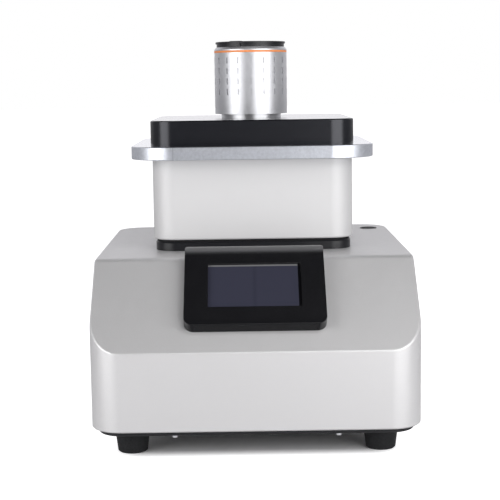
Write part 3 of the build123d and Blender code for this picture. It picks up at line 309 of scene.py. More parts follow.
class Finish(Graph):
    """A node material: one shader, with layers of grain that tint, dull or dent it."""

    def __init__(self, colour, roughness, metallic=0.0, specular=0.5, coat=0.0, tone=1.0):
        super().__init__(bpy.data.materials.new("finish"))
        self.colour = tuple(part * tone for part in colour) + (1.0,)
        self.owner.diffuse_color = self.colour
        self.shader = self.add(
            "ShaderNodeBsdfPrincipled", Base_Color=self.colour, Roughness=roughness, Metallic=metallic,
            Specular_IOR_Level=specular, Coat_Weight=coat, Coat_Roughness=COAT_ROUGHNESS)
        self.add("ShaderNodeOutputMaterial", Surface=self.shader.outputs["BSDF"])
        self.coordinates = self.add("ShaderNodeTexCoord").outputs["Object"]

    def feed(self, name, value):
        """Lead a value or another node to an input of the shader."""
        self.put(self.shader.inputs[name], value)

    def shade(self, share):
        """The finish's own colour, made darker or paler."""
        return tuple(min(1.0, part * share) for part in self.colour[:3]) + (1.0,)

    def grain(self, size, detail=3.0, stretch=(1, 1, 1), rough=0.5):
        """Cloudy grain whose spots are about size millimetres across."""
        place = self.add("ShaderNodeMapping", Vector=self.coordinates, Scale=stretch).outputs["Vector"]
        scale = 1 / (size * MM)
        noise = self.add("ShaderNodeTexNoise", Vector=place, Scale=scale, Detail=detail, Roughness=rough)
        return noise.outputs["Fac"]

    def factor(self, spots, grain):
        """Another node's value as it is, or grain with spots of a size."""
        return spots if isinstance(spots, bpy.types.NodeSocket) else self.grain(spots, **grain)

    def tint(self, spots, low, high, from_low=0.3, from_high=0.7, **grain):
        """Let grain vary the colour between two shades."""
        led = self.between(self.factor(spots, grain), 0.0, 1.0, from_low, from_high)
        result = self.blend(led, self.shade(low), self.shade(high))
        self.feed("Base Color", result)
        return result

    def dull(self, spots, low, high, **grain):
        """Let grain vary the roughness."""
        self.feed("Roughness", self.between(self.factor(spots, grain), low, high))

    def dent(self, spots, depth, strength, **grain):
        """Fine relief of grain, up to depth millimetres."""
        height = self.factor(spots, grain)
        bump = self.add("ShaderNodeBump", Distance=depth * MM, Strength=strength, Height=height)
        self.feed("Normal", bump.outputs["Normal"])


def housing_paint(colours):
    """Satin metallic paint with a fine speckle and a faint orange peel."""
    finish = Finish(colours.housing, roughness=0.42, metallic=0.5)
    finish.tint(0.5, low=0.955, high=1.035, detail=2.0)
    finish.dull(9, low=0.39, high=0.45)
    finish.dent(0.9, depth=0.02, strength=0.35, detail=1.0)
    return finish


def casing_silver(colours):
    """Bead-blasted and anodised, with a soft sheen."""
    finish = Finish(colours.casing, roughness=0.54, metallic=0.25, specular=0.2)
    finish.tint(0.35, low=0.965, high=1.03, detail=2.0)
    finish.dull(14, low=0.52, high=0.56)
    finish.dent(0.5, depth=0.015, strength=0.3, detail=1.0)
    return finish


def plate_aluminium(colours):
    """Bare milled plate: softly mottled, smoother at its rounded corners, with a line where one begins."""
    finish = Finish(colours.plate, roughness=0.3, metallic=0.85, tone=0.88)
    mottled = finish.tint(4, low=0.92, high=1.06, from_low=0.38, from_high=0.62, detail=6.0, rough=0.7)
    across = finish.apart(finish.coordinates)
    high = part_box("lid_plate")[1]
    corner_start = high.x - PLATE_POLISH
    from_line = finish.math("ABSOLUTE", finish.math("ADD", across["X"], corner_start))
    line = finish.math("LESS_THAN", from_line, WITNESS_LINE)
    finish.feed("Base Color", finish.blend(line, mottled, finish.shade(WITNESS_TONE)))
    beyond = finish.math("SUBTRACT", finish.math("ABSOLUTE", across["X"]), corner_start)
    polished = finish.between(beyond, 0.0, 1.0, 0.0, POLISH_FADE, smooth=True)
    scuffs = finish.between(finish.grain(3, detail=5.0, rough=0.65), low=0.28, high=0.34)
    even = finish.math("MULTIPLY", finish.math("SUBTRACT", 1.0, polished), scuffs)
    sides = finish.math("ADD", even, finish.math("MULTIPLY", polished, POLISHED_ROUGHNESS))
    top = finish.math("GREATER_THAN", across["Z"], high.z - TOP_SKIN)
    finish.feed("Roughness", finish.between(top, sides, PLATE_TOP_ROUGHNESS, 0.0, 1.0))
    finish.dent(0.5, depth=0.008, strength=0.25, detail=2.0, stretch=PLATE_LINES)
    return finish


def shaded_neck_steel(colours):
    """Smooth steel of the feed neck, darker than the other turned steel as painted shade under the sleeve."""
    # Painted shade: the stainless colour darkened for the neck, which sits in shade under the hopper sleeve
    finish = Finish(colours.stainless, roughness=0.32, metallic=0.9, tone=0.6)
    finish.tint(1.2, low=0.96, high=1.03)
    finish.dull(6, low=0.30, high=0.36)
    finish.dent(0.3, depth=0.002, strength=0.25, detail=2.0, stretch=TURNED_RINGS)
    return finish


def stainless(colours):
    """Satin turned steel with very fine rings round its axis."""
    finish = Finish(colours.stainless, roughness=0.38, metallic=0.8, tone=0.78)
    finish.tint(0.8, low=0.975, high=1.025, from_low=0.35, from_high=0.65)
    finish.dull(8, low=0.37, high=0.42, detail=2.0)
    finish.dent(0.3, depth=0.004, strength=0.3, detail=2.0, stretch=TURNED_RINGS)
    return finish


def steel(colours):
    """Zinc-plated steel of screws, pins, nuts and races."""
    finish = Finish(colours.stainless, roughness=0.3, metallic=1.0)
    finish.tint(1.5, low=0.9, high=1.08)
    finish.dull(0.8, low=0.24, high=0.4)
    return finish


def motor_aluminium(colours):
    """Cast motor parts with a coarse skin."""
    finish = Finish(colours.casting, roughness=0.5, metallic=0.9)
    finish.tint(3, low=0.88, high=1.1)
    finish.dent(0.8, depth=0.06, strength=0.6)
    return finish


def stator_iron(colours):
    """Stack of thin laminations."""
    finish = Finish(colours.iron, roughness=0.55, metallic=0.7)
    layers = finish.grain(0.5, detail=1.0, stretch=IRON_LAYERS)
    finish.tint(layers, low=0.75, high=1.2)
    finish.dent(layers, depth=0.05, strength=0.6)
    return finish


def black_coat(colours, low, high, specular=0.42):
    """Black coat with a very fine grain, whose roughness lies between two limits."""
    finish = Finish(colours.black, roughness=(low + high) / 2, specular=specular)
    finish.tint(0.6, low=0.85, high=1.2, detail=2.0)
    finish.dull(12, low, high)
    finish.dent(0.5, depth=0.008, strength=0.3, detail=1.0)
    return finish


def cover_black(colours):
    """Coat of the lid cover: satin at its sides, with a clear sheen on its top."""
    finish = black_coat(colours, low=0.25, high=0.265, specular=0.5)
    height = finish.apart(finish.coordinates)["Z"]
    top = finish.math("GREATER_THAN", height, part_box("lid_cover")[1].z - TOP_SKIN)
    finish.feed("Coat Weight", finish.math("MULTIPLY", top, COVER_TOP_COAT))
    finish.feed("Coat Roughness", COVER_TOP_ROUGHNESS)
    finish.feed("Specular Tint", COVER_TINT)
    return finish


def plinth_black(colours):
    """Coat of the plinth."""
    return black_coat(colours, low=0.34, high=0.38)


def panel_black(colours):
    """Dull coat of the rear panel."""
    return black_coat(colours, low=0.42, high=0.55)


def tray_black(colours):
    """Dull coat of the bottom tray."""
    return black_coat(colours, low=0.45, high=0.6)


def bezel_black(colours):
    """Moulded gloss plastic with a very fine texture, made paler where its top rolls back by a painted sheen.
    """
    finish = Finish(colours.bezel, roughness=0.24)
    tinted = finish.tint(0.4, low=0.85, high=1.25, detail=1.0)
    finish.dull(25, low=0.22, high=0.25, detail=2.0)
    low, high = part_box("display_bezel")
    height = finish.apart(finish.coordinates)["Z"]
    lip_top = low.z + BEZEL_LIP
    lip = finish.between(height, LIP_SPECULAR, BEZEL_SPECULAR, lip_top, lip_top + BEZEL_LIP)
    finish.feed("Specular IOR Level", lip)
    # Painted sheen: the colour turns pale towards the bezel's top edge, where the rolled top would catch the
    # light
    painted_sheen = finish.between(height, 0.0, 1.0, high.z - PAINTED_SHEEN_HEIGHT, high.z, smooth=True)
    finish.feed("Base Color", finish.blend(painted_sheen, tinted, BEZEL_PAINTED_SHEEN))
    finish.dent(0.35, depth=0.003, strength=0.25, detail=1.0)
    return finish


def button_dark(colours):
    """Matt rubbery skin of the push button."""
    finish = Finish(colours.black, roughness=0.7, specular=0.2)
    finish.tint(0.7, low=0.8, high=1.3, detail=2.0)
    finish.dull(4, low=0.62, high=0.78)
    finish.dent(0.4, depth=0.03, strength=0.5)
    return finish


def plastic_black(colours):
    """Matt black plastic of the fan, the inlet and the hopper's cap."""
    finish = Finish(colours.black, roughness=0.42, specular=0.45)
    finish.tint(0.8, low=0.85, high=1.3, detail=2.0)
    finish.dull(5, low=0.36, high=0.5)
    finish.dent(0.4, depth=0.02, strength=0.5)
    return finish


def module_grey(colours):
    """Grey sheet and plastic of the display module."""
    finish = Finish(colours.module, roughness=0.5, metallic=0.4)
    finish.tint(2, low=0.85, high=1.15)
    return finish


def display_glass(colours):
    """Unlit display under plain glass: soft dark seam, black border at its right, and a pale strip along its
    top that is a painted highlight of the window's lit top edge.
    """
    finish = Finish(colours.display, roughness=0.16, coat=0.6)
    sizes = bpy.context.scene.mill_sizes
    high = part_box("display_glass")[1]
    across = finish.apart(finish.coordinates)
    off_seam = finish.between(finish.math("ABSOLUTE", across["X"]), 0.0, 1.0, 0.0, SEAM_WIDTH, smooth=True)
    cloudy = finish.math("MULTIPLY", finish.grain(50, detail=1.0), CLOUD_SHARE)
    both = finish.math("ADD", off_seam, cloudy)
    glass = finish.tint(both, low=0.88, high=1.02, from_low=0.2, from_high=1.4)
    # Painted highlight: a pale strip along the glass's top edge, where the window's top edge catches the
    # light
    strip = finish.math("GREATER_THAN", across["Z"], high.z - sizes.display_strip)
    border = finish.math("GREATER_THAN", across["X"], high.x - GLASS_MARGIN - sizes.display_border)
    with_edge_highlight = finish.blend(strip, glass, PAINTED_EDGE_HIGHLIGHT)
    finish.feed("Base Color", finish.blend(border, with_edge_highlight, BORDER_BLACK))
    return finish


def foot_rubber(colours):
    """Matt rubber with a mould skin."""
    finish = Finish(colours.rubber, roughness=0.6, specular=0.25)
    finish.tint(2.5, low=0.8, high=1.3, detail=4.0)
    finish.dull(3, low=0.48, high=0.66)
    finish.dent(0.5, depth=0.05, strength=0.6, detail=2.0)
    return finish


def gasket_black(colours):
    """Sponge rubber of the seals and the gasket."""
    finish = Finish(colours.sponge, roughness=0.75, specular=0.25)
    finish.tint(1, low=0.7, high=1.4)
    finish.dent(0.5, depth=0.08, strength=0.7)
    return finish


def ring_orange(colours):
    """Silicone of the hopper's ring."""
    finish = Finish(colours.ring, roughness=0.5, specular=0.3)
    finish.tint(2, low=0.93, high=1.06)
    finish.dent(0.6, depth=0.02, strength=0.4)
    return finish


def board_green(colours):
    """Solder mask with darker and lighter patches."""
    finish = Finish(colours.board, roughness=0.35)
    finish.tint(4, low=0.6, high=1.5, detail=5.0, rough=0.7)
    return finish


def painted_socket_shade(colours):
    """Dark steel at the bottom of a screw's socket: painted shade in the recess."""
    finish = Finish(colours.socket, roughness=0.6, metallic=0.8)
    finish.tint(0.8, low=0.7, high=1.3)
    return finish


FINISHES = {maker.__name__: maker for maker in (
    housing_paint, tray_black, foot_rubber, steel, stainless, bezel_black, display_glass, module_grey,
    board_green, panel_black, plastic_black, plinth_black, gasket_black, casing_silver, plate_aluminium,
    cover_black, motor_aluminium, stator_iron, ring_orange, button_dark,
)}
FINISHES.update(cap_black=plastic_black, rocker_black=bezel_black)
NODE_FINISHES = {"feed_neck": shaded_neck_steel, "power_button_bezel": module_grey}
MADE = {}


def material_of(maker):
    """Material of a finish, made when it is first asked for."""
    if maker not in MADE:
        material = maker(bpy.context.scene.mill_colours).owner
        material.name = maker.__name__
        MADE[maker] = material
    return MADE[maker]


def finish_of(node):
    """Material of a node: its own finish, or else its slot's."""
    return material_of(NODE_FINISHES.get(node) or FINISHES[NODE_SLOT[node]])


def coat_node(node):
    """Give a solid that is hidden in use its finish, with its own mesh."""
    materials = frame["nodes"][node].data.materials
    if not materials:
        materials.append(finish_of(node))
    for index in range(len(materials)):
        materials[index] = finish_of(node)


def take_over(piece, node):
    """Let a finished piece stand for a node on the node's own body."""
    piece.data.materials.clear()
    piece.data.materials.append(finish_of(node))
    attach(piece, NODE_BODY[node])
    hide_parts(node)


def merged_copy(node, joint=FLAT_JOINT):
    """Copy of a node's mesh with triangles joined where they meet at less than an angle."""
    mesh = bpy.data.meshes.new(node + "_shell")
    work = bmesh.new()
    work.from_mesh(frame["nodes"][node].data)
    bmesh.ops.remove_doubles(work, verts=work.verts, dist=WELD)
    bmesh.ops.dissolve_limit(
        work, angle_limit=joint, verts=work.verts, edges=work.edges, delimit={"NORMAL"})
    work.to_mesh(mesh)
    work.free()
    return linked(mesh)


def linked(data):
    """Object of a mesh, a light or a camera, in the scene."""
    piece = bpy.data.objects.new(data.name, data)
    bpy.context.scene.collection.objects.link(piece)
    return piece


def as_drawn(piece):
    """Plain mesh of a piece with its modifiers applied."""
    return bpy.data.meshes.new_from_object(piece.evaluated_get(bpy.context.evaluated_depsgraph_get()))


def sharpen(piece, angle):
    """Smooth faces with crisp edges where they meet at more than an angle."""
    work = bmesh.new()
    work.from_mesh(piece.data)
    for face in work.faces:
        face.smooth = True
    for edge in work.edges:
        edge.smooth = len(edge.link_faces) == 2 and edge.calc_face_angle(0) < angle
    work.to_mesh(piece.data)
    work.free()


def shade_evenly(piece):
    """Wide faces stay flat and roundings shade evenly between them."""
    sharpen(piece, bpy.context.scene.mill_sizes.smooth_angle)
    weighted = piece.modifiers.new("even_shading", "WEIGHTED_NORMAL")
    weighted.mode = "FACE_AREA"
    weighted.weight = AREA_WEIGHT
    weighted.keep_sharp = True


def block_shell(node, rounding=None):
    """Stand-in for a node with flat sides, with its machined edges rounded where asked."""
    piece = merged_copy(node)
    if rounding:
        bevel = piece.modifiers.new("edge_rounding", "BEVEL")
        bevel.width = rounding
        bevel.segments = EDGE_SEGMENTS
        bevel.limit_method = "ANGLE"
        bevel.angle_limit = bpy.context.scene.mill_sizes.smooth_angle
    shade_evenly(piece)
    take_over(piece, node)


def block_shells(*nodes):
    """Stand-ins for several nodes with flat sides."""
    for node in nodes:
        block_shell(node)


def turned_shell(node, axis=MILL_AXIS):
    """Stand-in for a turned node: its shading follows the true circle, and cuts in it stay flat."""
    piece = merged_copy(node, ROUND_JOINT)
    mesh = piece.data
    normals = [None] * len(mesh.loops)
    for polygon in mesh.polygons:
        polygon.use_smooth = True
        outward = spoke_to(polygon.center, axis)
        sideways = outward.cross(Vector((0, 0, 1)))
        flat = polygon.normal
        round_face = abs(flat.dot(sideways)) < TANGENT_LIMIT
        for loop_index in polygon.loop_indices:
            spoke = spoke_to(mesh.vertices[mesh.loops[loop_index].vertex_index].co, axis)
            true_normal = spoke * flat.dot(outward) + Vector((0, 0, flat.z))
            normals[loop_index] = true_normal.normalized() if round_face else flat.copy()
    mesh.normals_split_custom_set(normals)
    take_over(piece, node)


def spoke_to(place, axis):
    """Level direction from an upright axis to a place."""
    return Vector((place.x - axis.x, place.y - axis.y, 0)).normalized()


class ShapeTree(NodeMaker):
    """Geometry node tree."""

    def __init__(self, name, inputs):
        self.tree = bpy.data.node_groups.new(name, "GeometryNodeTree")
        self.tree.interface.new_socket("Geometry", in_out="OUTPUT", socket_type="NodeSocketGeometry")
        for label, kind in (("Geometry", "Geometry"),) + inputs:
            self.tree.interface.new_socket(label, in_out="INPUT", socket_type="NodeSocket" + kind)
        self.inputs = self.tree.nodes.new("NodeGroupInput").outputs

    def moved(self, mesh, chosen, place):
        """Mesh with its chosen points at a new place."""
        node = self.add("GeometryNodeSetPosition", Geometry=mesh, Selection=chosen, Position=place)
        return node.outputs["Geometry"]

    def raised(self, mesh, chosen, height):
        """Mesh with its chosen face drawn out along its own direction, and the new face."""
        node = self.add("GeometryNodeExtrudeMesh", Mesh=mesh, Selection=chosen, Offset_Scale=height)
        return node.outputs["Mesh"], node.outputs["Top"]


def hexagon_screws():
    """Screw heads with a crown and a hexagon socket, one on each point, all facing one way."""
    shape = ShapeTree("hexagon_screws", (
        ("Head Radius", "Float"), ("Head Height", "Float"), ("Crown Share", "Float"),
        ("Socket Share", "Float"), ("Socket Depth", "Float"), ("Direction", "Vector"),
        ("Material", "Material"), ("Socket Shade Material", "Material"),
    ))
    given = shape.inputs
    rim = shape.add(
        "GeometryNodeMeshCircle", (("fill_type", "NGON"),), Vertices=HEAD_SIDES, Radius=given["Head Radius"])
    half_height = shape.math("MULTIPLY", given["Head Height"], 0.5)
    mesh, top = shape.raised(rim.outputs["Mesh"], True, half_height)
    mesh, top = shape.raised(mesh, top, half_height)
    across = shape.apart(shape.add("GeometryNodeInputPosition").outputs["Position"])
    crown = shape.together(
        X=shape.math("MULTIPLY", across["X"], given["Crown Share"]),
        Y=shape.math("MULTIPLY", across["Y"], given["Crown Share"]), Z=across["Z"])
    mesh = shape.moved(mesh, top, crown)
    mesh, top = shape.raised(mesh, top, 0.0)
    angle = shape.math("ARCTAN2", across["Y"], across["X"])
    sixth = math.radians(60)
    turn = shape.math("FLOORED_MODULO", shape.math("ADD", angle, sixth / 2), sixth)
    within = shape.math("SUBTRACT", turn, sixth / 2)
    flat = shape.math("MULTIPLY", given["Head Radius"], given["Socket Share"])
    reach = shape.math("DIVIDE", flat, shape.math("COSINE", within))
    hexagon = shape.together(
        X=shape.math("MULTIPLY", reach, shape.math("COSINE", angle)),
        Y=shape.math("MULTIPLY", reach, shape.math("SINE", angle)), Z=across["Z"])
    mesh = shape.moved(mesh, top, hexagon)
    depth = shape.math("MULTIPLY", given["Head Height"], given["Socket Depth"])
    mesh, bottom = shape.raised(mesh, top, shape.math("MULTIPLY", depth, -1.0))
    head = shape.add(
        "GeometryNodeStoreNamedAttribute", (("data_type", "BOOLEAN"), ("domain", "FACE")),
        Geometry=mesh, Selection=bottom, Name="socket_floor", Value=True)
    facing = shape.add("FunctionNodeAlignRotationToVector", (("axis", "Z"),), Vector=given["Direction"])
    twist = shape.add("FunctionNodeRandomValue", (("data_type", "FLOAT"),), Seed=TWIST_SEED)
    limits = [socket for socket in twist.inputs if socket.enabled and socket.name in ("Min", "Max")]
    for socket, value in zip(limits, (0.0, sixth)):
        socket.default_value = value
    turned = shape.add("FunctionNodeEulerToRotation", Euler=shape.together(Z=in_use(twist.outputs)))
    both = shape.add(
        "FunctionNodeRotateRotation", (("rotation_space", "LOCAL"),),
        Rotation=facing.outputs["Rotation"], Rotate_By=turned.outputs["Rotation"])
    heads = shape.add(
        "GeometryNodeInstanceOnPoints", Points=given["Geometry"], Instance=head.outputs["Geometry"],
        Rotation=both.outputs["Rotation"])
    real = shape.add("GeometryNodeRealizeInstances", Geometry=heads.outputs["Instances"])
    bright = shape.add(
        "GeometryNodeSetMaterial", Geometry=real.outputs["Geometry"], Material=given["Material"])
    # Painted shade: the socket's floor gets the dark socket material
    floors = shape.add(
        "GeometryNodeInputNamedAttribute", (("data_type", "BOOLEAN"),), Name="socket_floor")
    dark = shape.add(
        "GeometryNodeSetMaterial", Geometry=bright.outputs["Geometry"], Selection=in_use(floors.outputs),
        Material=given["Socket Shade Material"])
    shape.add("NodeGroupOutput", Geometry=dark.outputs["Geometry"])
    return shape.tree


def add_screws(name, body, places, facing, radius, height):
    """Row of screw heads as one piece, with its nodes turned into a plain mesh."""
    sizes = bpy.context.scene.mill_sizes
    points = bpy.data.meshes.new(name)
    points.from_pydata(places, [], [])
    piece = linked(points)
    points.name = name + "_places"
    tree = bpy.data.node_groups.get("hexagon_screws") or hexagon_screws()
    values = {
        "Head Radius": radius, "Head Height": height, "Direction": facing,
        "Crown Share": sizes.crown_share, "Socket Share": sizes.socket_share,
        "Socket Depth": sizes.socket_depth,
        "Material": material_of(steel), "Socket Shade Material": material_of(painted_socket_shade),
    }
    modifier = piece.modifiers.new("screws", "NODES")
    modifier.node_group = tree
    for item in tree.interface.items_tree:
        if item.name in values:
            modifier[item.identifier] = values[item.name]
    mesh = as_drawn(piece)
    piece.modifiers.clear()
    piece.data = mesh
    sharpen(piece, sizes.smooth_angle)
    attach(piece, body)
    return piece


def around(centre, reach_x, reach_y, height):
    """Four places at the corners of a rectangle round a centre, at one height."""
    return [(centre.x + x, centre.y + y, height) for x in (-reach_x, reach_x) for y in (-reach_y, reach_y)]


class MillOperator:
    """What the operators share."""

    bl_options = {"REGISTER", "UNDO"}

    @property
    def sizes(self):
        """Sizes that the user has set."""
        return bpy.context.scene.mill_sizes


class MILL_OT_base(MillOperator, bpy.types.Operator):
    """Base housing, bottom tray, feet and tray screws"""

    bl_idname = "mill.base"
    bl_label = "Base housing and feet"

    def execute(self, context):
        block_shells("base_housing", "base_plate")
        for node in ("foot_front_left", "foot_front_right", "foot_rear_left", "foot_rear_right"):
            turned_shell(node, middle_of(node))
        low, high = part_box("base_plate_screws")
        head = self.sizes.tray_head
        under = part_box("base_plate")[0].z
        places = around(middle_of("base_plate_screws"), high.x - head, high.y - head, under)
        body = NODE_BODY["base_plate_screws"]
        screws = add_screws("tray_screws", body, places, (0, 0, -1), head, under - low.z)
        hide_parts("base_plate_screws")
        return {"FINISHED"}


class MILL_OT_display(MillOperator, bpy.types.Operator):
    """Display bezel, glass, module and control board"""

    bl_idname = "mill.display"
    bl_label = "Display"

    def execute(self, context):
        self.make_bezel()
        block_shell("display_glass")
        coat_node("lcd_module")
        coat_node("control_board")
        return {"FINISHED"}

    def make_bezel(self):
        """Moulded bezel whose edges are rounded and whose top rolls back softly."""
        bezel = merged_copy("display_bezel")
        front = max(bezel.data.polygons, key=lambda face: face.area)
        forward, level = front.normal.copy(), front.center.dot(front.normal)
        upward = Vector((1, 0, 0)).cross(forward)
        upward *= math.copysign(1, upward.z)
        self.roll_rim(bezel, forward, level)
        in_front = [vert for vert in bezel.data.vertices if abs(vert.co.dot(forward) - level) < SAME_PLANE]
        top = max(vert.co.dot(upward) for vert in in_front)
        cut = top - self.sizes.bezel_bow
        self.slice_across(bezel, upward, cut)
        shade_evenly(bezel)
        shaded = as_drawn(bezel)
        bezel.modifiers.clear()
        bezel.data = shaded
        self.lean_normals(shaded, upward, cut, top)
        take_over(bezel, "display_bezel")

    def roll_rim(self, piece, forward, level):
        """Round the edges round the front face."""
        work = bmesh.new()
        work.from_mesh(piece.data)
        edges = [edge for edge in work.edges if self.rims_front(edge, forward, level)]
        if not edges:
            raise RuntimeError("no edge to round on " + piece.name)
        bmesh.ops.bevel(
            work, geom=edges, offset=self.sizes.edge_roll, offset_type="OFFSET", segments=ROLL_SEGMENTS,
            profile=0.5, affect="EDGES", clamp_overlap=True)
        work.to_mesh(piece.data)
        work.free()

    @staticmethod
    def rims_front(edge, forward, level):
        """Whether an edge lies in the bezel's front face and turns sharply away from it."""
        if any(abs(vert.co.dot(forward) - level) > SAME_PLANE for vert in edge.verts):
            return False
        return len(edge.link_faces) == 2 and edge.calc_face_angle(0) > RIM_ANGLE

    @staticmethod
    def slice_across(piece, upward, cut):
        """Cut new edges into a piece at a height along its face."""
        work = bmesh.new()
        work.from_mesh(piece.data)
        whole = work.verts[:] + work.edges[:] + work.faces[:]
        bmesh.ops.bisect_plane(work, geom=whole, plane_co=upward * cut, plane_no=upward)
        work.to_mesh(piece.data)
        work.free()

    def lean_normals(self, mesh, upward, cut, top):
        """Tilt the shading of the front's top strip step by step towards the sky."""
        normals = [corner.vector.copy() for corner in mesh.corner_normals]
        for polygon in mesh.polygons:
            facing = polygon.normal
            if polygon.center.dot(upward) < cut or abs(facing.x) > LEAN_LIMIT or facing.z < LEAN_LIMIT:
                continue
            for index in polygon.loop_indices:
                height = mesh.vertices[mesh.loops[index].vertex_index].co.dot(upward)
                share = min(1.0, max(0.0, (height - cut) / (top - cut)))
                normal = normals[index]
                tilt = math.atan2(normal.z, -normal.y)
                lean = tilt + max(0.0, self.sizes.bezel_lean - tilt) * share
                normals[index] = Vector((normal.x, -math.cos(lean), math.sin(lean))).normalized()
        mesh.normals_split_custom_set(normals)


class MILL_OT_rear(MillOperator, bpy.types.Operator):
    """Rear panel with its screws, mains inlet, rocker and cooling fan"""

    bl_idname = "mill.rear"
    bl_label = "Rear panel"

    def execute(self, context):
        block_shells("rear_panel", "power_entry_module", "mains_rocker", "fan_frame", "fan_impeller")
        sizes = self.sizes
        low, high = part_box("rear_panel")
        side = high.x - sizes.panel_inset
        lift = (high.z - low.z) / 2 - sizes.panel_inset
        middle = middle_of("rear_panel").z
        places = [(x, high.y, middle + z) for x in (-side, side) for z in (-lift, 0, lift)]
        fan_low, fan_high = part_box("fan_frame")
        reach = (fan_high.x - fan_low.x) / 2 - sizes.fan_inset
        fan = middle_of("fan_frame")
        places += [(fan.x + x, high.y, fan.z + z) for x in (-reach, reach) for z in (-reach, reach)]
        add_screws("rear_screws", "base", places, (0, 1, 0), sizes.panel_head, sizes.panel_head_height)
        return {"FINISHED"}


class MILL_OT_push_button(MillOperator, bpy.types.Operator):
    """Push button and its ring"""

    bl_idname = "mill.push_button"
    bl_label = "Push button"

    def execute(self, context):
        for node in ("power_button", "power_button_bezel"):
            turned_shell(node, middle_of(node))
        return {"FINISHED"}


class MILL_OT_chamber(MillOperator, bpy.types.Operator):
    """Plinth, gasket, casing, grinding chamber, cassette, sieve and deck screws"""

    bl_idname = "mill.chamber"
    bl_label = "Chamber"

    def execute(self, context):
        block_shells("plinth", "chamber_gasket", "chamber_casing", "grinding_chamber")
        for node in ("collecting_cassette", "cassette_lid", "ring_sieve"):
            turned_shell(node)
        sizes = self.sizes
        places = around(MILL_AXIS, sizes.deck_reach, sizes.deck_reach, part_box("grinding_chamber")[1].z)
        add_screws("deck_screws", "base", places, (0, 0, 1), sizes.deck_head, sizes.flush_height)
        return {"FINISHED"}


class MILL_OT_rotor(MillOperator, bpy.types.Operator):
    """Mill rotor and its cap nut"""

    bl_idname = "mill.rotor"
    bl_label = "Mill rotor"

    def execute(self, context):
        block_shell("mill_rotor", self.sizes.edge_round)
        turned_shell("rotor_cap_nut")
        return {"FINISHED"}


class MILL_OT_drive(MillOperator, bpy.types.Operator):
    """Motor, shaft, bearings and motor drive"""

    bl_idname = "mill.drive"
    bl_label = "Motor and drive"

    def execute(self, context):
        for node in (
            "motor_drive", "motor_mount_plate", "motor_housing", "motor_stator", "motor_upper_shield",
            "motor_lower_shield", "bearing_outer_races", "bearing_inner_races", "motor_shaft",
            "motor_rotor_core", "shaft_housing", "shaft_seal",
        ):
            coat_node(node)
        return {"FINISHED"}


class MILL_OT_lid(MillOperator, bpy.types.Operator):
    """Lid plate, cover, liner, seal and screws, with the hinge and the lock"""

    bl_idname = "mill.lid"
    bl_label = "Lid"

    def execute(self, context):
        block_shells(
            "lid_plate", "lid_cover", "lid_liner", "lid_seal", "lid_hinge_arms", "lid_striker",
            "hinge_brackets", "hinge_pins", "lock_solenoid", "lock_bolt")
        sizes = self.sizes
        places = around(MILL_AXIS, sizes.lid_reach, sizes.lid_reach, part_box("lid_plate")[0].z)
        add_screws("lid_screws", "lid", places, (0, 0, -1), sizes.deck_head, sizes.flush_height)
        return {"FINISHED"}


class MILL_OT_hopper(MillOperator, bpy.types.Operator):
    """Feed neck, hopper sleeve, funnel and ring"""

    bl_idname = "mill.hopper"
    bl_label = "Hopper"

    def execute(self, context):
        for node in ("feed_neck", "hopper_sleeve", "hopper_funnel", "hopper_ring"):
            turned_shell(node)
        return {"FINISHED"}


class MILL_OT_feed_cap(MillOperator, bpy.types.Operator):
    """Feed cap with its tab"""

    bl_idname = "mill.feed_cap"
    bl_label = "Feed cap"

    def execute(self, context):
        block_shell("feed_cap")
        return {"FINISHED"}


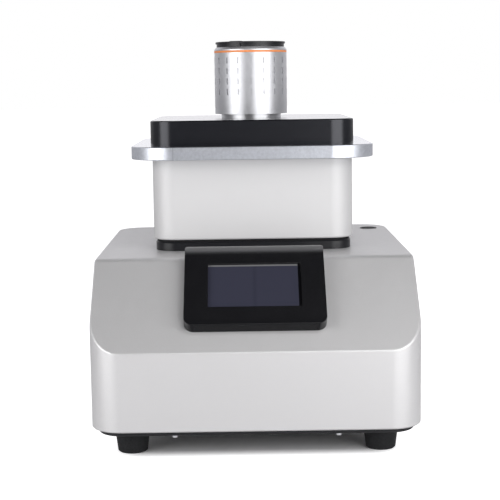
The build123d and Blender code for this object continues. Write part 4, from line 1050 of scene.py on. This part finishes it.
class MILL_OT_stage(MillOperator, bpy.types.Operator):
    """Floor, room, lights and camera"""

    bl_idname = "mill.stage"
    bl_label = "Studio"

    floor_half = 20.0
    shade_inset = (0.060, 0.045)
    light_aim = Vector((0, 0.03, 0.25))

    @property
    def studio(self):
        """Studio values that the user has set."""
        return bpy.context.scene.mill_studio

    def execute(self, context):
        self.make_floor()
        self.make_room(context)
        self.make_lights()
        self.make_camera(context)
        context.scene.view_settings.view_transform = "Standard"
        return {"FINISHED"}

    def make_floor(self):
        """Matt white floor that looks white to the camera except in the object's shade."""
        half = self.floor_half
        mesh = bpy.data.meshes.new("floor")
        corners = [(-half, -half, 0), (half, -half, 0), (half, half, 0), (-half, half, 0)]
        mesh.from_pydata(corners, [], [(0, 1, 2, 3)])
        graph = Graph(bpy.data.materials.new("floor_white"))
        paint = graph.add("ShaderNodeBsdfDiffuse", Color=tuple(self.studio.floor_paint) + (1.0,))
        across = graph.apart(graph.add("ShaderNodeTexCoord").outputs["Object"])
        squares = []
        for axis, edge, inset in zip("XY", CAD_BOX[1], self.shade_inset):
            past = graph.math("SUBTRACT", graph.math("ABSOLUTE", across[axis]), edge - inset)
            squares.append(graph.math("POWER", graph.math("MAXIMUM", past, 0.0), 2.0))
        distance = graph.math("SQRT", graph.math("ADD", *squares))
        # Painted shade: the camera-only glow fades in away from a box round the object, so the floor round
        # the object stays darker than the open floor
        open_floor = graph.between(distance, 0.0, 1.0, 0.0, self.studio.shade_reach, smooth=True)
        seen = graph.add("ShaderNodeLightPath").outputs["Is Camera Ray"]
        lift = graph.math("MULTIPLY", seen, self.studio.floor_lift)
        glow = graph.add("ShaderNodeEmission", Strength=graph.math("MULTIPLY", lift, open_floor))
        both = graph.add("ShaderNodeAddShader")
        graph.put(both.inputs[0], paint.outputs["BSDF"])
        graph.put(both.inputs[1], glow.outputs["Emission"])
        graph.add("ShaderNodeOutputMaterial", Surface=both.outputs["Shader"])
        mesh.materials.append(graph.owner)
        linked(mesh)

    def make_room(self, context):
        """White to the camera, bright straight behind the object, dim at its sides and overhead."""
        studio = self.studio
        graph = Graph(bpy.data.worlds.new("studio_room"))
        context.scene.world = graph.owner
        toward = graph.apart(graph.add("ShaderNodeTexCoord").outputs["Generated"])
        sides = graph.between(
            toward["Y"], studio.front_level, studio.side_level, *studio.front_span, smooth=True)
        walls = graph.between(toward["Y"], sides, studio.back_level, *studio.back_span, smooth=True)
        above = graph.between(toward["Z"], 0.0, 1.0, *studio.ceiling_span, smooth=True)
        kept = graph.math("MULTIPLY", walls, graph.math("SUBTRACT", 1.0, above))
        level = graph.math("ADD", kept, graph.math("MULTIPLY", above, studio.ceiling_level))
        seen = graph.add("ShaderNodeLightPath").outputs["Is Camera Ray"]
        tint = graph.blend(seen, tuple(studio.room_tint) + (1.0,), WHITE)
        sky = graph.add("ShaderNodeBackground", Color=tint, Strength=graph.math("MAXIMUM", level, seen))
        graph.add("ShaderNodeOutputWorld", Surface=sky.outputs["Background"])

    def make_light(self, name, place, width, height, power):
        """Rectangular light that shines on the object."""
        data = bpy.data.lights.new(name, "AREA")
        data.shape = "RECTANGLE"
        data.size = width
        data.size_y = height
        data.energy = power
        lamp = linked(data)
        lamp.location = place
        lamp.rotation_euler = (self.light_aim - Vector(place)).to_track_quat("-Z", "Y").to_euler()

    def make_lights(self):
        """One light at each side in front, and one above."""
        studio = self.studio
        away = studio.light_distance
        sides = (
            ("left_light", studio.left_angle, studio.left_width, studio.left_power),
            ("right_light", studio.right_angle, studio.right_width, studio.right_power),
        )
        for name, angle, width, power in sides:
            place = (away * math.sin(angle), MILL_AXIS.y - away * math.cos(angle), studio.light_height)
            self.make_light(name, place, width, studio.light_tall, power)
        self.make_light(
            "upper_light", studio.upper_place, studio.upper_width, studio.upper_depth, studio.upper_power)

    def make_camera(self, context):
        """Camera at its place, looking down, right and leaning by its three angles."""
        studio = self.studio
        pitch, yaw, roll = studio.camera_pitch, studio.camera_yaw, studio.camera_roll
        level_right = Vector((math.cos(yaw), -math.sin(yaw), 0))
        level_forward = Vector((math.sin(yaw), math.cos(yaw), 0))
        forward = math.cos(pitch) * level_forward - math.sin(pitch) * Vector((0, 0, 1))
        level_up = level_right.cross(forward)
        right = math.cos(roll) * level_right + math.sin(roll) * level_up
        up = -math.sin(roll) * level_right + math.cos(roll) * level_up
        turn = Matrix((right, up, -forward)).transposed().to_4x4()
        data = bpy.data.cameras.new("camera")
        data.lens = studio.lens
        data.sensor_width = studio.sensor
        camera = linked(data)
        camera.matrix_world = Matrix.Translation(Vector(studio.camera_place)) @ turn
        context.scene.camera = camera


STEPS = (
    "stage", "base", "display", "rear", "push_button", "chamber", "rotor", "drive", "lid", "hopper",
    "feed_cap",
)


class MILL_PT_sidebar(bpy.types.Panel):
    """Lists the steps and the values that they read"""

    bl_idname = "MILL_PT_sidebar"
    bl_label = "Laboratory mill"
    bl_space_type = "VIEW_3D"
    bl_region_type = "UI"
    bl_category = "Mill"

    def draw(self, context):
        layout = self.layout
        scene = context.scene
        for group in (scene.mill_sizes, scene.mill_colours, scene.mill_studio):
            box = layout.box()
            for name in group.__annotations__:
                box.prop(group, name)
        column = layout.column(align=True)
        for step in STEPS:
            column.operator("mill." + step)


CLASSES = (MillColours, MillSizes, MillStudio, *MillOperator.__subclasses__(), MILL_PT_sidebar)


def register():
    """Make the classes and their values known to the program."""
    for cls in CLASSES:
        bpy.utils.register_class(cls)
    bpy.types.Scene.mill_colours = PointerProperty(type=MillColours)
    bpy.types.Scene.mill_sizes = PointerProperty(type=MillSizes)
    bpy.types.Scene.mill_studio = PointerProperty(type=MillStudio)


def unregister():
    """Take the classes and their values out again."""
    del bpy.types.Scene.mill_studio
    del bpy.types.Scene.mill_sizes
    del bpy.types.Scene.mill_colours
    for cls in reversed(CLASSES):
        bpy.utils.unregister_class(cls)


def main():
    """Run every step."""
    register()
    for step in STEPS:
        getattr(bpy.ops.mill, step)()


if __name__ == "__main__":
    main()
